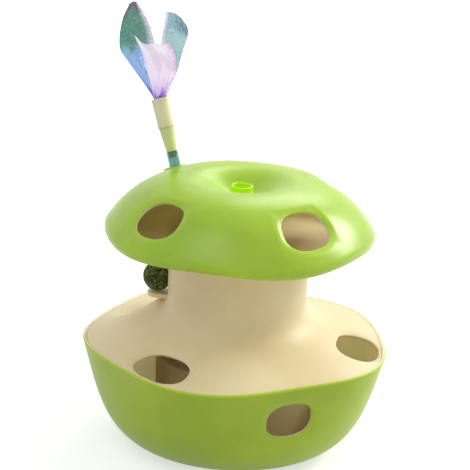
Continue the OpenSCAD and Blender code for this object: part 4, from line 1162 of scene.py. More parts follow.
@dataclass
class Bowl(SubAssembly):
    """The green bowl: a lobed wall on a flat floor with the door, slot and screw openings.

    The side is a curve whose handles lie belly out and up from the foot, and draw in and down
    from the rim. The heel's round aims at its point heel_to, and it is used from side_from on.
    """

    rim: Pair = (118.5, 84.0)
    foot: Pair = (70.0, 2.0)
    belly: Pair = (34.0, 6.0)
    draw: Pair = (9.5, 38.0)
    foot_round: float = 7.0
    heel_to: int = 8
    side_from: int = 10
    wall: float = 2.6
    floor: float = 3.0
    thin_above: float = 1.0
    thinning: float = 40.0
    lobes_past_rim: float = 20.0
    hole_z: float = 55.0
    hole_size: Pair = (39.0, 29.0)
    hole_bearings: tuple[float, ...] = (24.0, 204.0)
    door_half: Pair = (29.35, 23.4)
    door_y: float = 26.09
    tab: Pair = (36.95, 4.8)
    slot_at: Pair = (29.0, -31.0)
    slot_half: Pair = (4.3, 1.8)
    peg_ring: float = 60.5
    peg_r: float = 2.5
    peg_bearing: float = 45.0
    screw_ring: float = 56.5
    screw_r: float = 3.2
    screw_sink: float = 1.8
    cut_past: float = 1.0

    def build(self) -> None:
        """Builds the bowl's shell, cuts its floor and dresses it."""
        rim, foot = np.array(self.rim), np.array(self.foot)
        floor_z, rim_z = self.foot[1], self.rim[1]
        side = bezier(foot, foot + self.belly, rim - self.draw, rim)
        heel = corner((0, floor_z), foot, side[self.heel_to], self.foot_round)
        profile = Profile(np.concatenate([[[0.0, floor_z]], heel, side[self.side_from:]]))
        start = profile.where(profile.z, floor_z + self.thin_above)
        wall = self.floor + (self.wall - self.floor) * smooth(start, start + self.thinning, profile.run)
        weight = faded(floor_z, rim_z + self.lobes_past_rim, profile.z, rim_z)
        along = profile.where(profile.z, self.hole_z)
        holes = [PawHole(b, along, *self.hole_size) for b in self.hole_bearings]
        shell = LobedShell(profile, wall, RIM_LOBES, weight, holes, pole=True)
        bowl = cut(shell.build("bowl_shell"), self.floor_tools())
        self.settle(bowl, BOWL_GREEN, "base", "green_shell", "bowl")

    def floor_tools(self) -> list[Object]:
        """The shapes that open the floor: door, door tab, switch slot, foot pegs and screws.

        Returns:
            The closed meshes to cut with.
        """
        floor_z = self.foot[1]
        low, high = floor_z - self.cut_past, floor_z + self.floor + self.cut_past
        (x, y), mid, (tab_x, tab_y) = self.door_half, self.door_y, self.tab
        door = [(-x, mid - y), (x, mid - y), (x, mid - tab_y), (tab_x, mid - tab_y),
                (tab_x, mid + tab_y), (x, mid + tab_y), (x, mid + y), (-x, mid + y)]
        slot = [np.array(self.slot_at) + np.array(self.slot_half) * way
                for way in ((-1, -1), (1, -1), (1, 1), (-1, 1))]
        pegs = [rod("peg", at_bearing(self.peg_bearing + turn, self.peg_ring), self.peg_r, low, high)
                for turn in QUARTERS]
        sinks = [rod("sink", at_bearing(turn, self.screw_ring), self.screw_r, low, floor_z + self.screw_sink)
                 for turn in QUARTERS]
        return [prism("door", door, low, high), prism("slot", slot, low, high), *pegs, *sinks]


@dataclass
class Core(SubAssembly):
    """The cream core: a lobed deck that flares into a round waist, with the ball's pocket.

    The flare is a curve whose handles lie sweep in and up from the rim, and at waist_foot, out
    from the waist and at a height. It is used from its point flare_from on. The shelf's edge is a
    row of (share of its outline, distance from its face).
    """

    deck_r: float = 115.6
    rim_z: float = 84.0
    skirt: Pair = (115.2, 79.0)
    sweep: Pair = (23.0, 6.0)
    waist_foot: Pair = (3.5, 92.0)
    flare_from: int = 6
    waist_r: float = 54.5
    waist_z: Pair = (114.0, 166.0)
    edge_round: float = 1.6
    neck_round: float = 1.5
    lobes_past: Pair = (4.0, 12.0)
    wall: float = 2.6
    bore_r: float = 6.05
    deck_from: float = 6.0
    hole_r: float = 97.0
    hole_size: Pair = (48.0, 33.0)
    hole_bearings: tuple[float, ...] = (-34.5, 79.5, 202.5)
    pocket_r: float = 13.0
    pocket_soft: float = 1.2
    pocket_fade: Pair = (8.0, 4.0)
    shelf_z: Pair = (112.1, 115.7)
    shelf_r: float = 8.0
    shelf_bite: float = 1.0
    shelf_steps: int = 25
    shelf_edge: Line = ((0.9, 0.0), (0.97, 0.15), (1.0, 0.5))
    ridge_bearing: float = -98.0
    ridge: Line = ((54, 0), (58, 5), (62, 10), (66, 9.5), (75, 7.2), (85, 4.5), (95, 2.2), (108, 0))
    ridge_spread: Pair = (15.0, 5.0)
    furrow: Line = ((56, 0), (66, -3.5), (90, -3.0), (110, 0))
    furrow_behind: float = 15.0
    furrow_spread: float = 6.0
    ease: float = 3.0

    def build(self) -> None:
        """Builds the deck with its waist and the ball's shelf, and dresses them."""
        low, top = self.waist_z
        flare = bezier((self.deck_r, self.rim_z), (self.deck_r - self.sweep[0], self.rim_z + self.sweep[1]),
                       (self.waist_r + self.waist_foot[0], self.waist_foot[1]), (self.waist_r, low))
        flare = flare[self.flare_from:]
        edge = corner(self.skirt, (self.deck_r, self.rim_z), flare[0], self.edge_round)
        neck = corner((self.waist_r, low), (self.waist_r, top), (0, top), self.neck_round)
        profile = Profile(np.concatenate([[self.skirt], edge, flare, neck, [[self.bore_r, top]]]))
        inside, outside = self.lobes_past
        weight = faded(self.waist_r - inside, self.deck_r + outside, profile.r, self.deck_r)
        along = profile.where(profile.r, self.hole_r, self.deck_from)
        holes = [PawHole(b, along, *self.hole_size) for b in self.hole_bearings]
        shell = LobedShell(profile, np.full_like(profile.run, self.wall), RIM_LOBES, weight, holes,
                           columns=288, step=1.8, press=self.press)
        core = join("core_shell", [shell.build("core_wall"), self.shelf()])
        self.settle(core, CREAM, "base", "cream_core", "core_deck")

    def press(self, points: Array, depth: Array) -> Array:
        """Raises the ridge under the ball's shelf, sinks the furrow behind it and presses the pocket.

        The ridge's height is a line of the radius, times exp(-(turn / spread)^2) of the bearing from
        its crest, with one spread in front and one behind. The furrow runs behind it in the same way.

        Args:
            points: the wall's points.
            depth: each point's share of the wall.

        Returns:
            The moved points.
        """
        r = np.hypot(points[..., 0], points[..., 1])
        turn = np.degrees(np.arctan2(points[..., 0], -points[..., 1])) - self.ridge_bearing
        spread = np.where(turn > 0, *self.ridge_spread)
        rise = eased(self.ridge, r, self.ease) * np.exp(-(turn / spread) ** 2)
        sunk = np.exp(-((turn + self.furrow_behind) / self.furrow_spread) ** 2)
        rise = rise + eased(self.furrow, r, self.ease) * sunk
        return self.pocket(points + np.stack([0 * r, 0 * r, rise], axis=-1), depth)

    def pocket(self, points: Array, depth: Array) -> Array:
        """Presses the ball's pocket into the waist.

        A point nearer the ball's middle than the pocket's radius, plus the wall's depth there,
        moves straight away from that middle until it is that far from it.

        Args:
            points: the wall's points.
            depth: each point's share of the wall.

        Returns:
            The moved points.
        """
        away = points - np.array(BALL_AT)
        far = np.linalg.norm(away, axis=-1)
        reach = self.pocket_r + depth * self.wall
        soft = 0.5 * (far + reach + np.sqrt((far - reach) ** 2 + self.pocket_soft))
        none, full = self.pocket_fade
        move = (np.maximum(soft, far) - far) * smooth(reach + none, reach + full, far)
        return points + away * (move / np.maximum(far, 1e-6))[..., None]

    def shelf(self) -> Object:
        """The shelf under the ball: a tongue with a round end, drawn as rows of one outline.

        Returns:
            The object.
        """
        out, root = math.hypot(*BALL_AT[:2]), self.shelf_bite - self.waist_r
        turn = np.linspace(0.0, np.pi, self.shelf_steps)
        end = np.stack([self.shelf_r * np.cos(turn), -out - self.shelf_r * np.sin(turn)], axis=-1)
        line = np.concatenate([[[self.shelf_r, root]], end, [[-self.shelf_r, root]]])[::-1]
        middle = np.array([0.0, -(out + self.waist_r) / 2])
        low, high = self.shelf_z
        inset = np.array([(0.0, low), *((share, low + gap) for share, gap in self.shelf_edge),
                          *((share, high - gap) for share, gap in self.shelf_edge[::-1]), (0.0, high)])
        flat = middle + inset[:, :1, None] * (line - middle)[None]
        level = np.broadcast_to(inset[:, 1, None, None], (*flat.shape[:2], 1))
        bearing = math.atan2(BALL_AT[0], -BALL_AT[1])
        c, s = math.cos(bearing), math.sin(bearing)
        spin = np.array([[c, -s, 0], [s, c, 0], [0, 0, 1]])
        faces = grid_faces(len(inset), len(line), False, True)[:, ::-1]
        return mesh_object("ball_shelf", np.concatenate([flat, level], axis=-1) @ spin.T, faces, CRISP_PAST)


@dataclass
class Cap(SubAssembly):
    """The green cap: a lobed dome with a dimple and three paw holes, on a cream lobed floor.

    The dome runs from its widest place over shoulder and crown to the ridge, and the dimple from
    there over its brow and foot to the hub. The lip's round aims at the dome's point lip_to, and
    the dome is used from dome_from on.
    """

    wide: Pair = (106.0, 173.5)
    shoulder: Pair = (99.0, 184.0)
    crown_r: float = 81.0
    ridge: Pair = (42.0, 213.5)
    brow_r: float = 26.0
    dimple_foot: Pair = (16.3, 202.5)
    hub: Pair = (9.3, 200.5)
    hem: Pair = (102.6, 167.5)
    lip_from: Pair = (103.0, 167.5)
    lip_tip: Pair = (106.3, 173.0)
    lip_round: float = 4.0
    lip_to: int = 10
    dome_from: int = 12
    wall: float = 2.6
    lobes: Lobes = Lobes(((5, 0.0127, 22.0), (3, 0.0115, 27.8)), 1.0)
    lobes_past: Pair = (10.0, 6.0)
    holes_after: float = 12.0
    hole_r: float = 84.5
    hole_size: Pair = (40.0, 34.0)
    hole_bearings: tuple[float, ...] = (-46.5, 35.5, 117.5)
    boss_bearings: tuple[float, ...] = (-5.5, 84.5, 174.5, 264.5)
    boss_r: float = 88.0
    boss_line: Line = ((1.5, 170.0), (4.0, 170.0), (4.4, 186.5), (1.5, 186.5))
    floor_line: Line = ((6.0, 167.5), (99.8, 167.5), (99.8, 170.0), (13.4, 170.0), (13.0, 194.9),
                        (9.3, 194.9), (9.3, 170.0), (6.0, 170.0))
    floor_columns: int = 240
    floor_soft: float = 0.8
    stem_line: Line = ((0, 194.9), (11.5, 194.9), (11.5, 196.9), (9.0, 196.9), (8.7, 208.5), (7.0, 208.5),
                       (7.0, 196.9), (0, 196.9))
    stem_soft: float = 0.7

    def build(self) -> None:
        """Builds the dome, its floor and the clear stem, and dresses them."""
        top = self.ridge[1]
        dome = bezier(self.wide, self.shoulder, (self.crown_r, top), self.ridge)
        dimple = bezier(self.ridge, (self.brow_r, top), self.dimple_foot, self.hub)
        lip = corner(self.lip_from, self.lip_tip, dome[self.lip_to], self.lip_round)
        profile = Profile(np.concatenate([[self.hem], lip, dome[self.dome_from:], dimple[1:]]))
        along = profile.where(profile.r, self.hole_r, self.holes_after)
        holes = [PawHole(b, along, *self.hole_size) for b in self.hole_bearings]
        shell = LobedShell(profile, np.full_like(profile.run, self.wall), self.lobes,
                           self.weight(profile.r), holes, columns=264)
        bosses = [turned("cap_boss", np.array(self.boss_line), moved(*at_bearing(b, self.boss_r)),
                         columns=32, ring=True) for b in self.boss_bearings]
        dressed = join("cap_shell", [shell.build("cap_wall"), *bosses])
        self.settle(dressed, CAP_GREEN, "cap", "green_shell", "cap")
        self.settle(self.floor(), CREAM, "cap", "cream_core", "cap_floor")
        stem = turned("stem_cup", soft_outline(self.stem_line, self.stem_soft), columns=72, crease=50.0)
        self.settle(stem, STEM_GREEN, "cap", "stem_green", "stem")

    def weight(self, r: Array) -> Array:
        """How strong the lobes are at a radius."""
        inside, outside = self.lobes_past
        return faded(self.ridge[0] - inside, self.wide[0] + outside, r, self.wide[0])

    def floor(self) -> Object:
        """The cap's floor: a lobed disc with rounded edges and the stem's post in its middle.

        Returns:
            The object.
        """
        line = soft_outline(self.floor_line, self.floor_soft)
        bearing = bearings(self.floor_columns)
        r = line[:, :1] * self.lobes.factor(bearing, self.weight(line[:, :1]))
        faces = grid_faces(len(line), self.floor_columns, True, True)
        return mesh_object("cap_floor_disc", around(bearing, r, line[:, 1:2]), faces, CRISP_PAST)


@dataclass(frozen=True)
class WandAxis:
    """Where the wand stands on the dome and how it leans."""

    bearing: float = math.radians(-131.0)
    out: float = 71.0
    height: float = 208.0
    lean: float = math.radians(20.0)

    def frame(self, lift: float = 0.0, square: bool = False) -> Array:
        """The wand's own frame as a matrix in millimetres, +Z along the wand.

        Args:
            lift: distance up the wand of the frame's origin from the dome.
            square: whether +X is turned back towards the toy's own +X.

        Returns:
            The 4 by 4 matrix.
        """
        place = Matrix.Rotation(self.bearing, 4, "Z") @ Matrix.Translation((0, -self.out, self.height)) \
            @ Matrix.Rotation(self.lean, 4, "X") @ Matrix.Translation((0, 0, lift))
        if square:
            place = place @ Matrix.Rotation(-self.bearing, 4, "Z")
        return np.array(place)


@dataclass(frozen=True)
class Turning:
    """A turned piece of the wand: its outline, the size of its rounds, and what it stands for."""

    name: str
    node: str
    body: str
    slot: str
    finish: Finish
    line: Line
    soft: float
    columns: int = 64
    ring: bool = False


@dataclass
class Wand(SubAssembly):
    """The teaser wand: a socket in the dome, a clear tube, and the lure's plug and collar."""

    turnings: tuple[Turning, ...] = (
        Turning("wand_socket_cup", "wand_socket", "cap", "green_shell", GREEN,
                ((0, -22.0), (6.9, -22.0), (6.9, -3.4), (9.9, -3.4), (9.6, -0.6), (6.9, 0.2), (4.75, 0.2),
                 (4.75, -20.0), (0, -20.0)), 0.6),
        Turning("clear_tube", "wand_tube", "wand", "clear_tube", CLEAR_TUBE,
                ((3.7, -19.7), (4.7, -19.7), (4.7, 12.0), (3.7, 12.0)), 0.3, ring=True),
        Turning("lure_plug_peg", "lure_plug", "lure", "cream_lure", LURE_PALE,
                ((0, 7.0), (3.2, 7.0), (3.6, 12.1), (4.3, 12.1), (6.2, 31.3), (0, 31.3)), 0.3, columns=56),
        Turning("lure_collar_cup", "lure_collar", "lure", "cream_lure", LURE_CREAM,
                ((0, 31.3), (6.6, 31.3), (6.75, 39.0), (7.2, 55.0), (5.6, 55.0), (5.6, 51.0), (0, 51.0)),
                0.8),
    )

    def build(self) -> None:
        """Builds the four turned pieces and dresses them."""
        for row in self.turnings:
            outline = soft_outline(row.line, row.soft)
            piece = turned(row.name, outline, WandAxis().frame(), row.columns, row.ring)
            self.settle(piece, row.finish, row.body, row.slot, row.node)


@dataclass(frozen=True)
class Petal:
    """One gathered strip of film: its height, its two edges, its top, and how it reaches, cups and folds.

    An edge is a row of (share of the height, millimetres to the side), and the top is a row of
    (share across, share of the height).
    """

    name: str
    node: str
    finish: Film
    height: float
    left: Line
    right: Line
    top: Line
    reach: float
    cup: float
    shift: float
    ripple: float
    kink: float = 0.0
    kink_from: float = 0.78
    folds: float = 2.0

    def surface(self, rows: int, columns: int) -> tuple[Array, Array]:
        """Points and pattern coordinates of the petal.

        Row t goes from the collar (0) to the tip (1) and column s across (-1 to 1). The point is
        between the left and the right edge at t to the side, reach t^0.8 + cup (s^2 - 0.4)
        sin(180 t) to the back, and height t up, drawn to the top's line as t squared. Crisp folds
        of the gather, a triangle wave across, fade in from the root and are strongest near the
        foot, where the strip is drawn together. Past kink_from the strip is folded over by kink
        millimetres to a unit of t.

        Args:
            rows, columns: size of the grid.

        Returns:
            The points in the wand's frame and their pattern coordinates.
        """
        t = np.linspace(0.0, 1.0, rows)[:, None]
        s = np.linspace(-1.0, 1.0, columns)[None, :]
        u = (s + 1) / 2
        left, right = eased(self.left, t), eased(self.right, t)
        gather = smooth(0.0, 0.12, t) * (1.15 - t) ** 1.4
        crease = np.arcsin(np.sin(self.folds * np.pi * s + 2.2 * t)) * 2 / np.pi
        wave = smooth(0.3, 1.0, t) * np.sin(3.3 * s + 7.0 * t + self.folds)
        y = self.reach * t ** 0.8 + self.cup * (s ** 2 - 0.4) * np.sin(np.pi * t) \
            + self.ripple * (gather * crease + 0.35 * wave) \
            + self.kink * np.maximum(0.0, t - self.kink_from) + self.shift
        z = self.height * t * (1 + (eased(self.top, u) - 1) * t ** 2)
        points = np.stack(np.broadcast_arrays(left + (right - left) * u, y, z), axis=-1)
        return points, np.stack(np.broadcast_arrays(u, t), axis=-1)


@dataclass
class FilmLure(SubAssembly):
    """Three gathered strips of pearly film that rise from the lure's collar."""

    root: float = 52.0
    thick: float = 0.00012
    grid: tuple[int, int] = (90, 60)
    petals: tuple[Petal, ...] = (
        Petal("film_left_wing", "film_left", FILM_LEFT, height=82, reach=2, cup=4, shift=0.4, ripple=1.5,
              left=((0, -4.4), (0.06, -5), (0.58, -23.5), (0.74, -20.3), (0.91, -13.8), (1, -6.4)),
              right=((0, 2), (0.3, 5), (0.57, 5.0), (0.77, 4.6), (0.95, 0.6), (1, -2.2)),
              top=((0, 0.985), (0.5, 1.0), (1, 0.985))),
        Petal("film_right_wing", "film_right", FILM_RIGHT, height=68, reach=9, cup=-1.5, shift=3.0,
              ripple=1.2, kink=-26,
              left=((0, -1.5), (0.5, 7.5), (0.68, 10), (1, 19.3)),
              right=((0, 2), (0.05, 4), (0.3, 17.5), (0.78, 32.3), (0.88, 33.2), (1, 32.6)),
              top=((0, 1.01), (0.5, 0.97), (0.8, 0.90), (1, 0.80))),
        Petal("film_front_wing", "film_front", FILM_FRONT, height=48, reach=-9, cup=3, shift=-2.0, ripple=1.4,
              left=((0, -4), (0.1, -4.4), (0.8, -5.2), (1, -8.3)),
              right=((0, 4), (0.08, 6), (0.42, 17.5), (0.75, 20), (1, 17.1)),
              top=((0, 1.17), (0.17, 1.0), (0.4, 0.945), (0.6, 0.965), (0.8, 0.90), (1, 0.905))),
    )

    def build(self) -> None:
        place = WandAxis().frame(self.root, square=True)
        for petal in self.petals:
            local, uv = petal.surface(*self.grid)
            points = carried(local, place)
            obj = mesh_object(petal.name, points, grid_faces(*self.grid, False, False), SOFT_PAST, uv)
            skin = obj.modifiers.new("film", "SOLIDIFY")
            skin.thickness, skin.offset = self.thick, 0.0
            self.settle(obj, petal.finish, "lure", "film", petal.node)


def wavy_noise(points: Array, seed: int, scale: float, waves: int = 24, pace: Pair = (0.6, 1.6),
               gain: float = 3.0) -> Array:
    """A smooth seeded noise: the mean of sines along random directions, from about -1 to 1.

    Args:
        points: where to read it.
        seed: the noise's seed.
        scale: waves to a unit of length, in radians.
        waves: number of sines.
        pace: least and greatest share of the scale that a sine takes.
        gain: what the mean is multiplied by.

    Returns:
        The noise at each point.
    """
    rng = np.random.default_rng(seed)
    ways = rng.normal(size=(waves, 3))
    ways = ways / np.linalg.norm(ways, axis=1, keepdims=True) * rng.uniform(*pace, (waves, 1)) * scale
    phase = rng.uniform(0, FULL_TURN, waves)
    return np.sin(points @ ways.T + phase).mean(axis=-1) * gain


@dataclass
class CatnipBall(SubAssembly):
    """The catnip ball: pressed leaf on a green pin, rough all over with a few raised flakes.

    A layer of its roughness is a depth, a seed and a scale.
    """

    radius: float = 11.6
    bore_r: float = 1.65
    smooth_to: float = 5.0
    layers: tuple[tuple[float, int, float], ...] = ((0.22, 3, 9.0), (0.16, 5, 26.0), (0.10, 7, 55.0))
    limits: Pair = (-0.7, 0.4)
    grid: tuple[int, int] = (120, 200)

    def build(self) -> None:
        """Builds the ball as a bored sphere whose radius is roughened by noise."""
        rows, columns = self.grid
        top = math.acos(self.bore_r / self.radius)
        rise = np.linspace(-top, top, rows)[:, None]
        bearing = bearings(columns)
        unit = around(bearing, np.cos(rise), np.sin(rise))
        rough = sum(depth * wavy_noise(unit, seed, scale) for depth, seed, scale in self.layers)
        fade = smooth(self.bore_r, self.smooth_to, self.radius * np.cos(rise))
        skin = unit * (self.radius + np.clip(rough, *self.limits) * fade)[..., None]
        bore = around(bearing, np.array([[self.bore_r]]), np.zeros((1, 1)))
        points = np.concatenate([skin, bore]) + np.array(BALL_AT)
        ball = mesh_object("catnip_ball_leaf", points, grid_faces(rows + 1, columns, True, True), SOFT_PAST)
        self.settle(ball, LEAF, "ball", "catnip", "catnip_ball")


@dataclass
class Mouse(SubAssembly):
    """The plush mouse on the rotor's arm: body, head, felt ears, a felt tail and bead eyes and nose."""

    path_r: float = 78.0
    height: float = 30.0
    body_r: float = 11.7
    body_x: Pair = (-26.0, 18.0)
    head_x: Pair = (9.0, 29.6)
    head_r: float = 8.8
    grid: tuple[int, int] = (90, 96)
    uneven: float = 0.02
    uneven_seed: int = 11
    uneven_scale: float = 0.35
    ear_at: Point = (19.0, 6.6, 8.5)
    ear_line: Line = ((0.0, 0.9), (4.2, 0.55), (5.4, 0.1), (5.9, 0.5), (6.0, 0.9), (5.8, 1.3), (5.0, 1.6),
                      (0.0, 1.6))
    ear_columns: int = 48
    eye_at: Point = (22.0, 5.6, 4.2)
    eye_r: float = 1.2
    nose_at: Point = (29.4, 0.0, 0.0)
    nose_r: float = 1.5
    bead_grid: tuple[int, int] = (17, 24)
    tail_r: float = 1.2
    tail_from: float = 22.0
    tail_turn: float = 24.0
    tail_taper: float = 0.2
    tail_root: float = 0.01
    tail_grid: tuple[int, int] = (60, 20)

    def build(self) -> None:
        body = self.plump("mouse_body_plush", self.body_x, self.body_r, self.body_outline)
        self.settle(body, PLUSH, "rotor", "mouse_plush", "mouse_body")
        head = self.plump("mouse_head_plush", self.head_x, self.head_r, self.head_outline)
        self.settle(head, PLUSH, "rotor", "mouse_plush", "mouse_head")
        ears = join("mouse_ears_felt", [self.ear(side) for side in (-1, 1)])
        self.settle(ears, FELT, "rotor", "mouse_skin", "mouse_ears")
        self.settle(self.tail(), FELT, "rotor", "mouse_skin", "mouse_tail")
        nose = self.bead("mouse_nose_bead", self.nose_at, self.nose_r)
        self.settle(nose, EYE, "rotor", "dark_plastic")
        beads = [self.bead("eye", self.on_side(self.eye_at, side), self.eye_r) for side in (-1, 1)]
        self.settle(join("mouse_eye_beads", beads), EYE, "rotor", "dark_plastic")

    def middle(self) -> Array:
        """The mouse's own origin, on its path at the back."""
        return np.array([0.0, self.path_r, self.height])

    @staticmethod
    def on_side(at: Point, side: int) -> Array:
        """A place on the left (1) or the right (-1) of the mouse."""
        return np.array(at) * (1, side, 1)

    @staticmethod
    def body_outline(t: Array) -> Array:
        """Radius share along the body: sin(180 t)^0.55, fuller behind than in front."""
        return np.sin(np.pi * t ** 1.06) ** 0.55

    @staticmethod
    def head_outline(t: Array) -> Array:
        """Radius share along the head: (1 - t^1.5)^0.8, drawn in at the neck."""
        return np.sqrt(np.clip(t / 0.06, 0, 1)) * (1 - t ** 1.5) ** 0.8

    def plump(self, name: str, ends: Pair, radius: float,
              outline: Callable[[Array], Array]) -> Object:
        """A stuffed form along +X: its outline turned about its length, with a soft unevenness.

        Args:
            name: the piece's name.
            ends: where it starts and ends along the mouse.
            radius: its largest radius.
            outline: its radius share as a function of the share of its length.

        Returns:
            The object.
        """
        rows, columns = self.grid
        t = (1 - np.cos(np.linspace(0, np.pi, rows)))[:, None] / 2
        turn = bearings(columns)
        r = radius * outline(t)
        x = ends[0] + (ends[1] - ends[0]) * t
        points = np.stack(np.broadcast_arrays(x, r * np.cos(turn), r * np.sin(turn)), axis=-1)
        noise = wavy_noise(points, self.uneven_seed, self.uneven_scale)[..., None]
        points[..., 1:] *= 1 - self.uneven + self.uneven * noise
        return mesh_object(name, points + self.middle(), grid_faces(rows, columns, False, True), PLUSH_PAST)

    def ear(self, side: int) -> Object:
        """A felt ear: a dished disc with a rounded edge, standing across the head.

        Args:
            side: 1 on the left, -1 on the right.

        Returns:
            The object.
        """
        turn = bearings(self.ear_columns)
        line = np.array(self.ear_line)
        r = line[:, :1]
        points = np.stack(np.broadcast_arrays(line[:, 1:2], r * np.cos(turn), r * np.sin(turn)), axis=-1)
        points = points + self.on_side(self.ear_at, side) + self.middle()
        return mesh_object("ear", points, grid_faces(len(line), self.ear_columns, False, True), SOFT_PAST)

    def tail(self) -> Object:
        """A felt cord tail along the track, tapering to its round end.

        Returns:
            The object.
        """
        rows, columns = self.tail_grid
        share = np.linspace(0.0, 1.0, rows)[:, None]
        bend = math.pi / 2 + self.tail_from / self.path_r + math.radians(self.tail_turn) * share
        r = self.tail_r * (1 - share) ** self.tail_taper * np.clip(share / self.tail_root, 0, 1)
        turn = bearings(columns)
        out = self.path_r + r * np.cos(turn)
        points = np.stack([out * np.cos(bend), out * np.sin(bend), self.height + r * np.sin(turn)], axis=-1)
        faces = grid_faces(rows, columns, False, True)[:, ::-1]
        return mesh_object("mouse_tail_felt", points, faces, PLUSH_PAST)

    def bead(self, name: str, at: Sequence[float], radius: float) -> Object:
        """A small round bead, as a turned half circle.

        Args:
            name: the piece's name.
            at: its place on the mouse.
            radius: its radius.

        Returns:
            The object.
        """
        rows, columns = self.bead_grid
        rise = np.linspace(-np.pi / 2, np.pi / 2, rows)
        outline = radius * np.stack([np.cos(rise), np.sin(rise)], axis=-1)
        return turned(name, outline, moved(*(np.asarray(at) + self.middle())), columns)


@dataclass
class Works(SubAssembly):
    """The carried-over works: track, drive, power, feet and fastenings, each with its finish."""

    finishes: tuple[tuple[Finish, tuple[str, ...]], ...] = (
        (CREAM, ("mouse_track", "drum_lid", "rotor_arm")),
        (NYLON, ("shaft_bush", "motor_pinion", "compound_gear", "rotor_gear", "swivel_ring",
                 "switch_slider")),
        (STEEL, ("gear_plate", "gear_cover_plate", "gear_axle", "motor", "rotor_screw", "battery_contacts",
                 "door_screw", "base_screws", "pivot_bolt", "pivot_washer", "pivot_nut", "cap_screws")),
        (BRASS, ("gear_posts",)),
        (DARK, ("battery_box", "switch_case")),
        (CELL, ("batteries",)),
        (BOARD, ("circuit_board",)),
        (RUBBER, ("rubber_feet",)),
        (GREEN, ("battery_door", "ball_pin")),
    )

    def build(self) -> None:
        """Dresses each node."""
        for finish, nodes in self.finishes:
            for node in nodes:
                self.palette.dress_node(node, finish)
                self.pieces.append(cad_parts[node])


# Studio

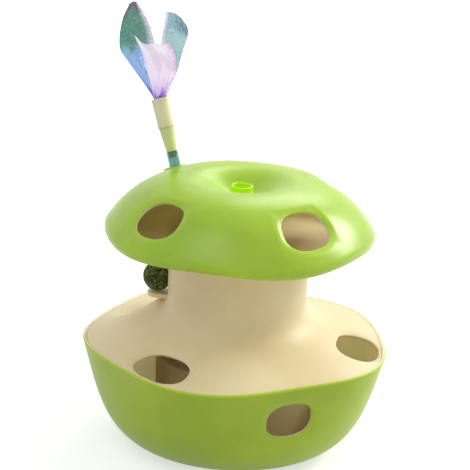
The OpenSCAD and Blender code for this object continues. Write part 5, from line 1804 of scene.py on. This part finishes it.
@dataclass
class Studio:
    """A pale floor, soft light and a camera at the photograph's viewing angle.

    Sizes are in metres. A lamp is a name, a place, a size, a power in watts and a tint. The floor
    glows, where it is seen, by the first of glow to the second between two distances.
    """

    centre: Point = (0.0, 0.0, 0.084)
    distance: float = 1.58
    elevation: float = 21.0
    roll: float = 2.5
    focal_px: float = 2000.0
    frame_px: float = 470.0
    centre_px: Pair = (235.4, 336.4)
    sensor_mm: float = 36.0
    far_clip: float = 20.0
    lamps: tuple[tuple[str, Point, float, float, Colour], ...] = (
        ("key", (1.15, 0.6, 0.9), 0.6, 15.0, (1.0, 0.98, 0.94)),
        ("left_fill", (-0.6, -0.7, 1.5), 0.8, 3.5, (0.97, 0.99, 1.0)),
        ("back_rim", (0.3, 1.0, 1.0), 0.6, 3.5, (1.0, 0.98, 0.94)),
    )
    lamps_aim: Point = (0.0, 0.0, 0.13)
    soft_light: float = 0.56
    soft_tint: Colour = (0.97, 0.98, 1.0)
    floor_half_mm: float = 4000.0
    floor_tone: Colour = (0.62, 0.62, 0.61)
    floor_rough: float = 0.9
    glow: Pair = (0.6, 0.9)
    glow_between: Pair = (0.3, 1.2)

    def build(self) -> None:
        """Makes the camera, the floor, the lamps and the world."""
        self.camera()
        self.floor()
        for lamp in self.lamps:
            self.lamp(*lamp)
        self.world()
        bpy.context.scene.view_settings.view_transform = "Standard"

    def camera(self) -> None:
        """Puts the camera where the rim's middle falls on its own place in the picture."""
        lift, turn = math.radians(self.elevation), math.radians(self.roll)
        back = Vector((0.0, -math.cos(lift), math.sin(lift)))
        spot = Vector(self.centre) + back * self.distance
        right, up = Vector((1, 0, 0)), Vector((0, math.sin(lift), math.cos(lift)))
        per_px = self.distance / self.focal_px
        dx, dy = ((self.frame_px / 2 - c) * per_px for c in self.centre_px)
        across = dx * math.cos(turn) + dy * math.sin(turn)
        down = -dx * math.sin(turn) + dy * math.cos(turn)
        aim = Vector(self.centre) + right * across - up * down
        data = bpy.data.cameras.new("camera")
        data.sensor_width = self.sensor_mm
        data.lens = self.focal_px / self.frame_px * self.sensor_mm
        data.clip_end = self.far_clip
        camera = bpy.data.objects.new("camera", data)
        look = (spot - aim).to_track_quat("Z", "Y").to_matrix().to_4x4()
        camera.matrix_world = Matrix.Translation(spot) @ look @ Matrix.Rotation(turn, 4, "Z")
        bpy.context.scene.collection.objects.link(camera)
        bpy.context.scene.camera = camera

    def lamp(self, name: str, at: Point, size: float, power: float, tint: Colour) -> None:
        """A square area lamp aimed at the toy's middle.

        Args:
            name: the lamp's name.
            at: its place.
            size: its side.
            power: its power in watts.
            tint: its colour.
        """
        data = bpy.data.lights.new(name, "AREA")
        data.size, data.energy, data.color = size, power, tint
        obj = bpy.data.objects.new(name, data)
        obj.location = at
        obj.rotation_euler = (Vector(at) - Vector(self.lamps_aim)).to_track_quat("Z", "Y").to_euler()
        bpy.context.scene.collection.objects.link(obj)

    @staticmethod
    def white_to_rays(w: Wiring) -> Socket:
        """A mask of camera, glossy and transmission rays.

        Args:
            w: the wiring of a material or the world.

        Returns:
            The mask.
        """
        rays = w.add("LightPath").outputs
        first = w.math("MAXIMUM", rays["Is Camera Ray"], rays["Is Glossy Ray"])
        return w.math("MAXIMUM", first, rays["Is Transmission Ray"])

    def floor(self) -> None:
        """A wide pale floor that keeps the toy's shadow."""
        corners = np.array([[-1, -1, 0], [1, -1, 0], [1, 1, 0], [-1, 1, 0]]) * self.floor_half_mm
        obj = mesh_object("pale_floor", corners, np.array([[0, 1, 2, 3]]))
        material = bpy.data.materials.new("pale_floor")
        material.use_nodes = True
        w = Wiring(material.node_tree)
        shader = w.node("BSDF_PRINCIPLED")
        w.feed(shader, Base_Color=self.floor_tone, Roughness=self.floor_rough)
        away = w.vector("LENGTH", in_0=w.where()).outputs["Value"]
        lift = w.add("Emission", None, Color=WHITE, Strength=w.band(away, *self.glow_between, *self.glow))
        bright = w.add("AddShader", None, in_0=shader.outputs[0], in_1=lift.outputs[0])
        seen = w.add("MixShader", None, in_0=self.white_to_rays(w), in_1=shader.outputs[0],
                     in_2=bright.outputs[0])
        w.feed(w.node("OUTPUT_MATERIAL"), Surface=seen.outputs[0])
        obj.data.materials.append(material)

    def world(self) -> None:
        """Soft even light from all round, which the camera sees as white."""
        world = bpy.data.worlds.new("studio")
        world.use_nodes = True
        world.node_tree.nodes.clear()
        w = Wiring(world.node_tree)
        soft = w.add("Background", None, Color=self.soft_tint, Strength=self.soft_light)
        white = w.add("Background", None, Color=WHITE, Strength=1.0)
        mixed = w.add("MixShader", None, in_0=self.white_to_rays(w), in_1=soft.outputs[0],
                      in_2=white.outputs[0])
        w.add("OutputWorld", None, in_0=mixed.outputs[0])
        bpy.context.scene.world = world


def main() -> None:
    """Builds the studio and each sub-assembly in order, and reports each piece."""
    logging.basicConfig(level=logging.INFO, format="%(name)s: %(message)s")
    Studio().build()
    palette = Palette()
    for make in (Bowl, Core, Cap, Wand, FilmLure, CatnipBall, Mouse, Works):
        part = make(palette)
        part.build()
        for piece in part.pieces:
            LOG.info("%s: %s, %d faces", make.__name__, piece.name, len(piece.data.polygons))


if __name__ == "__main__":
    main()
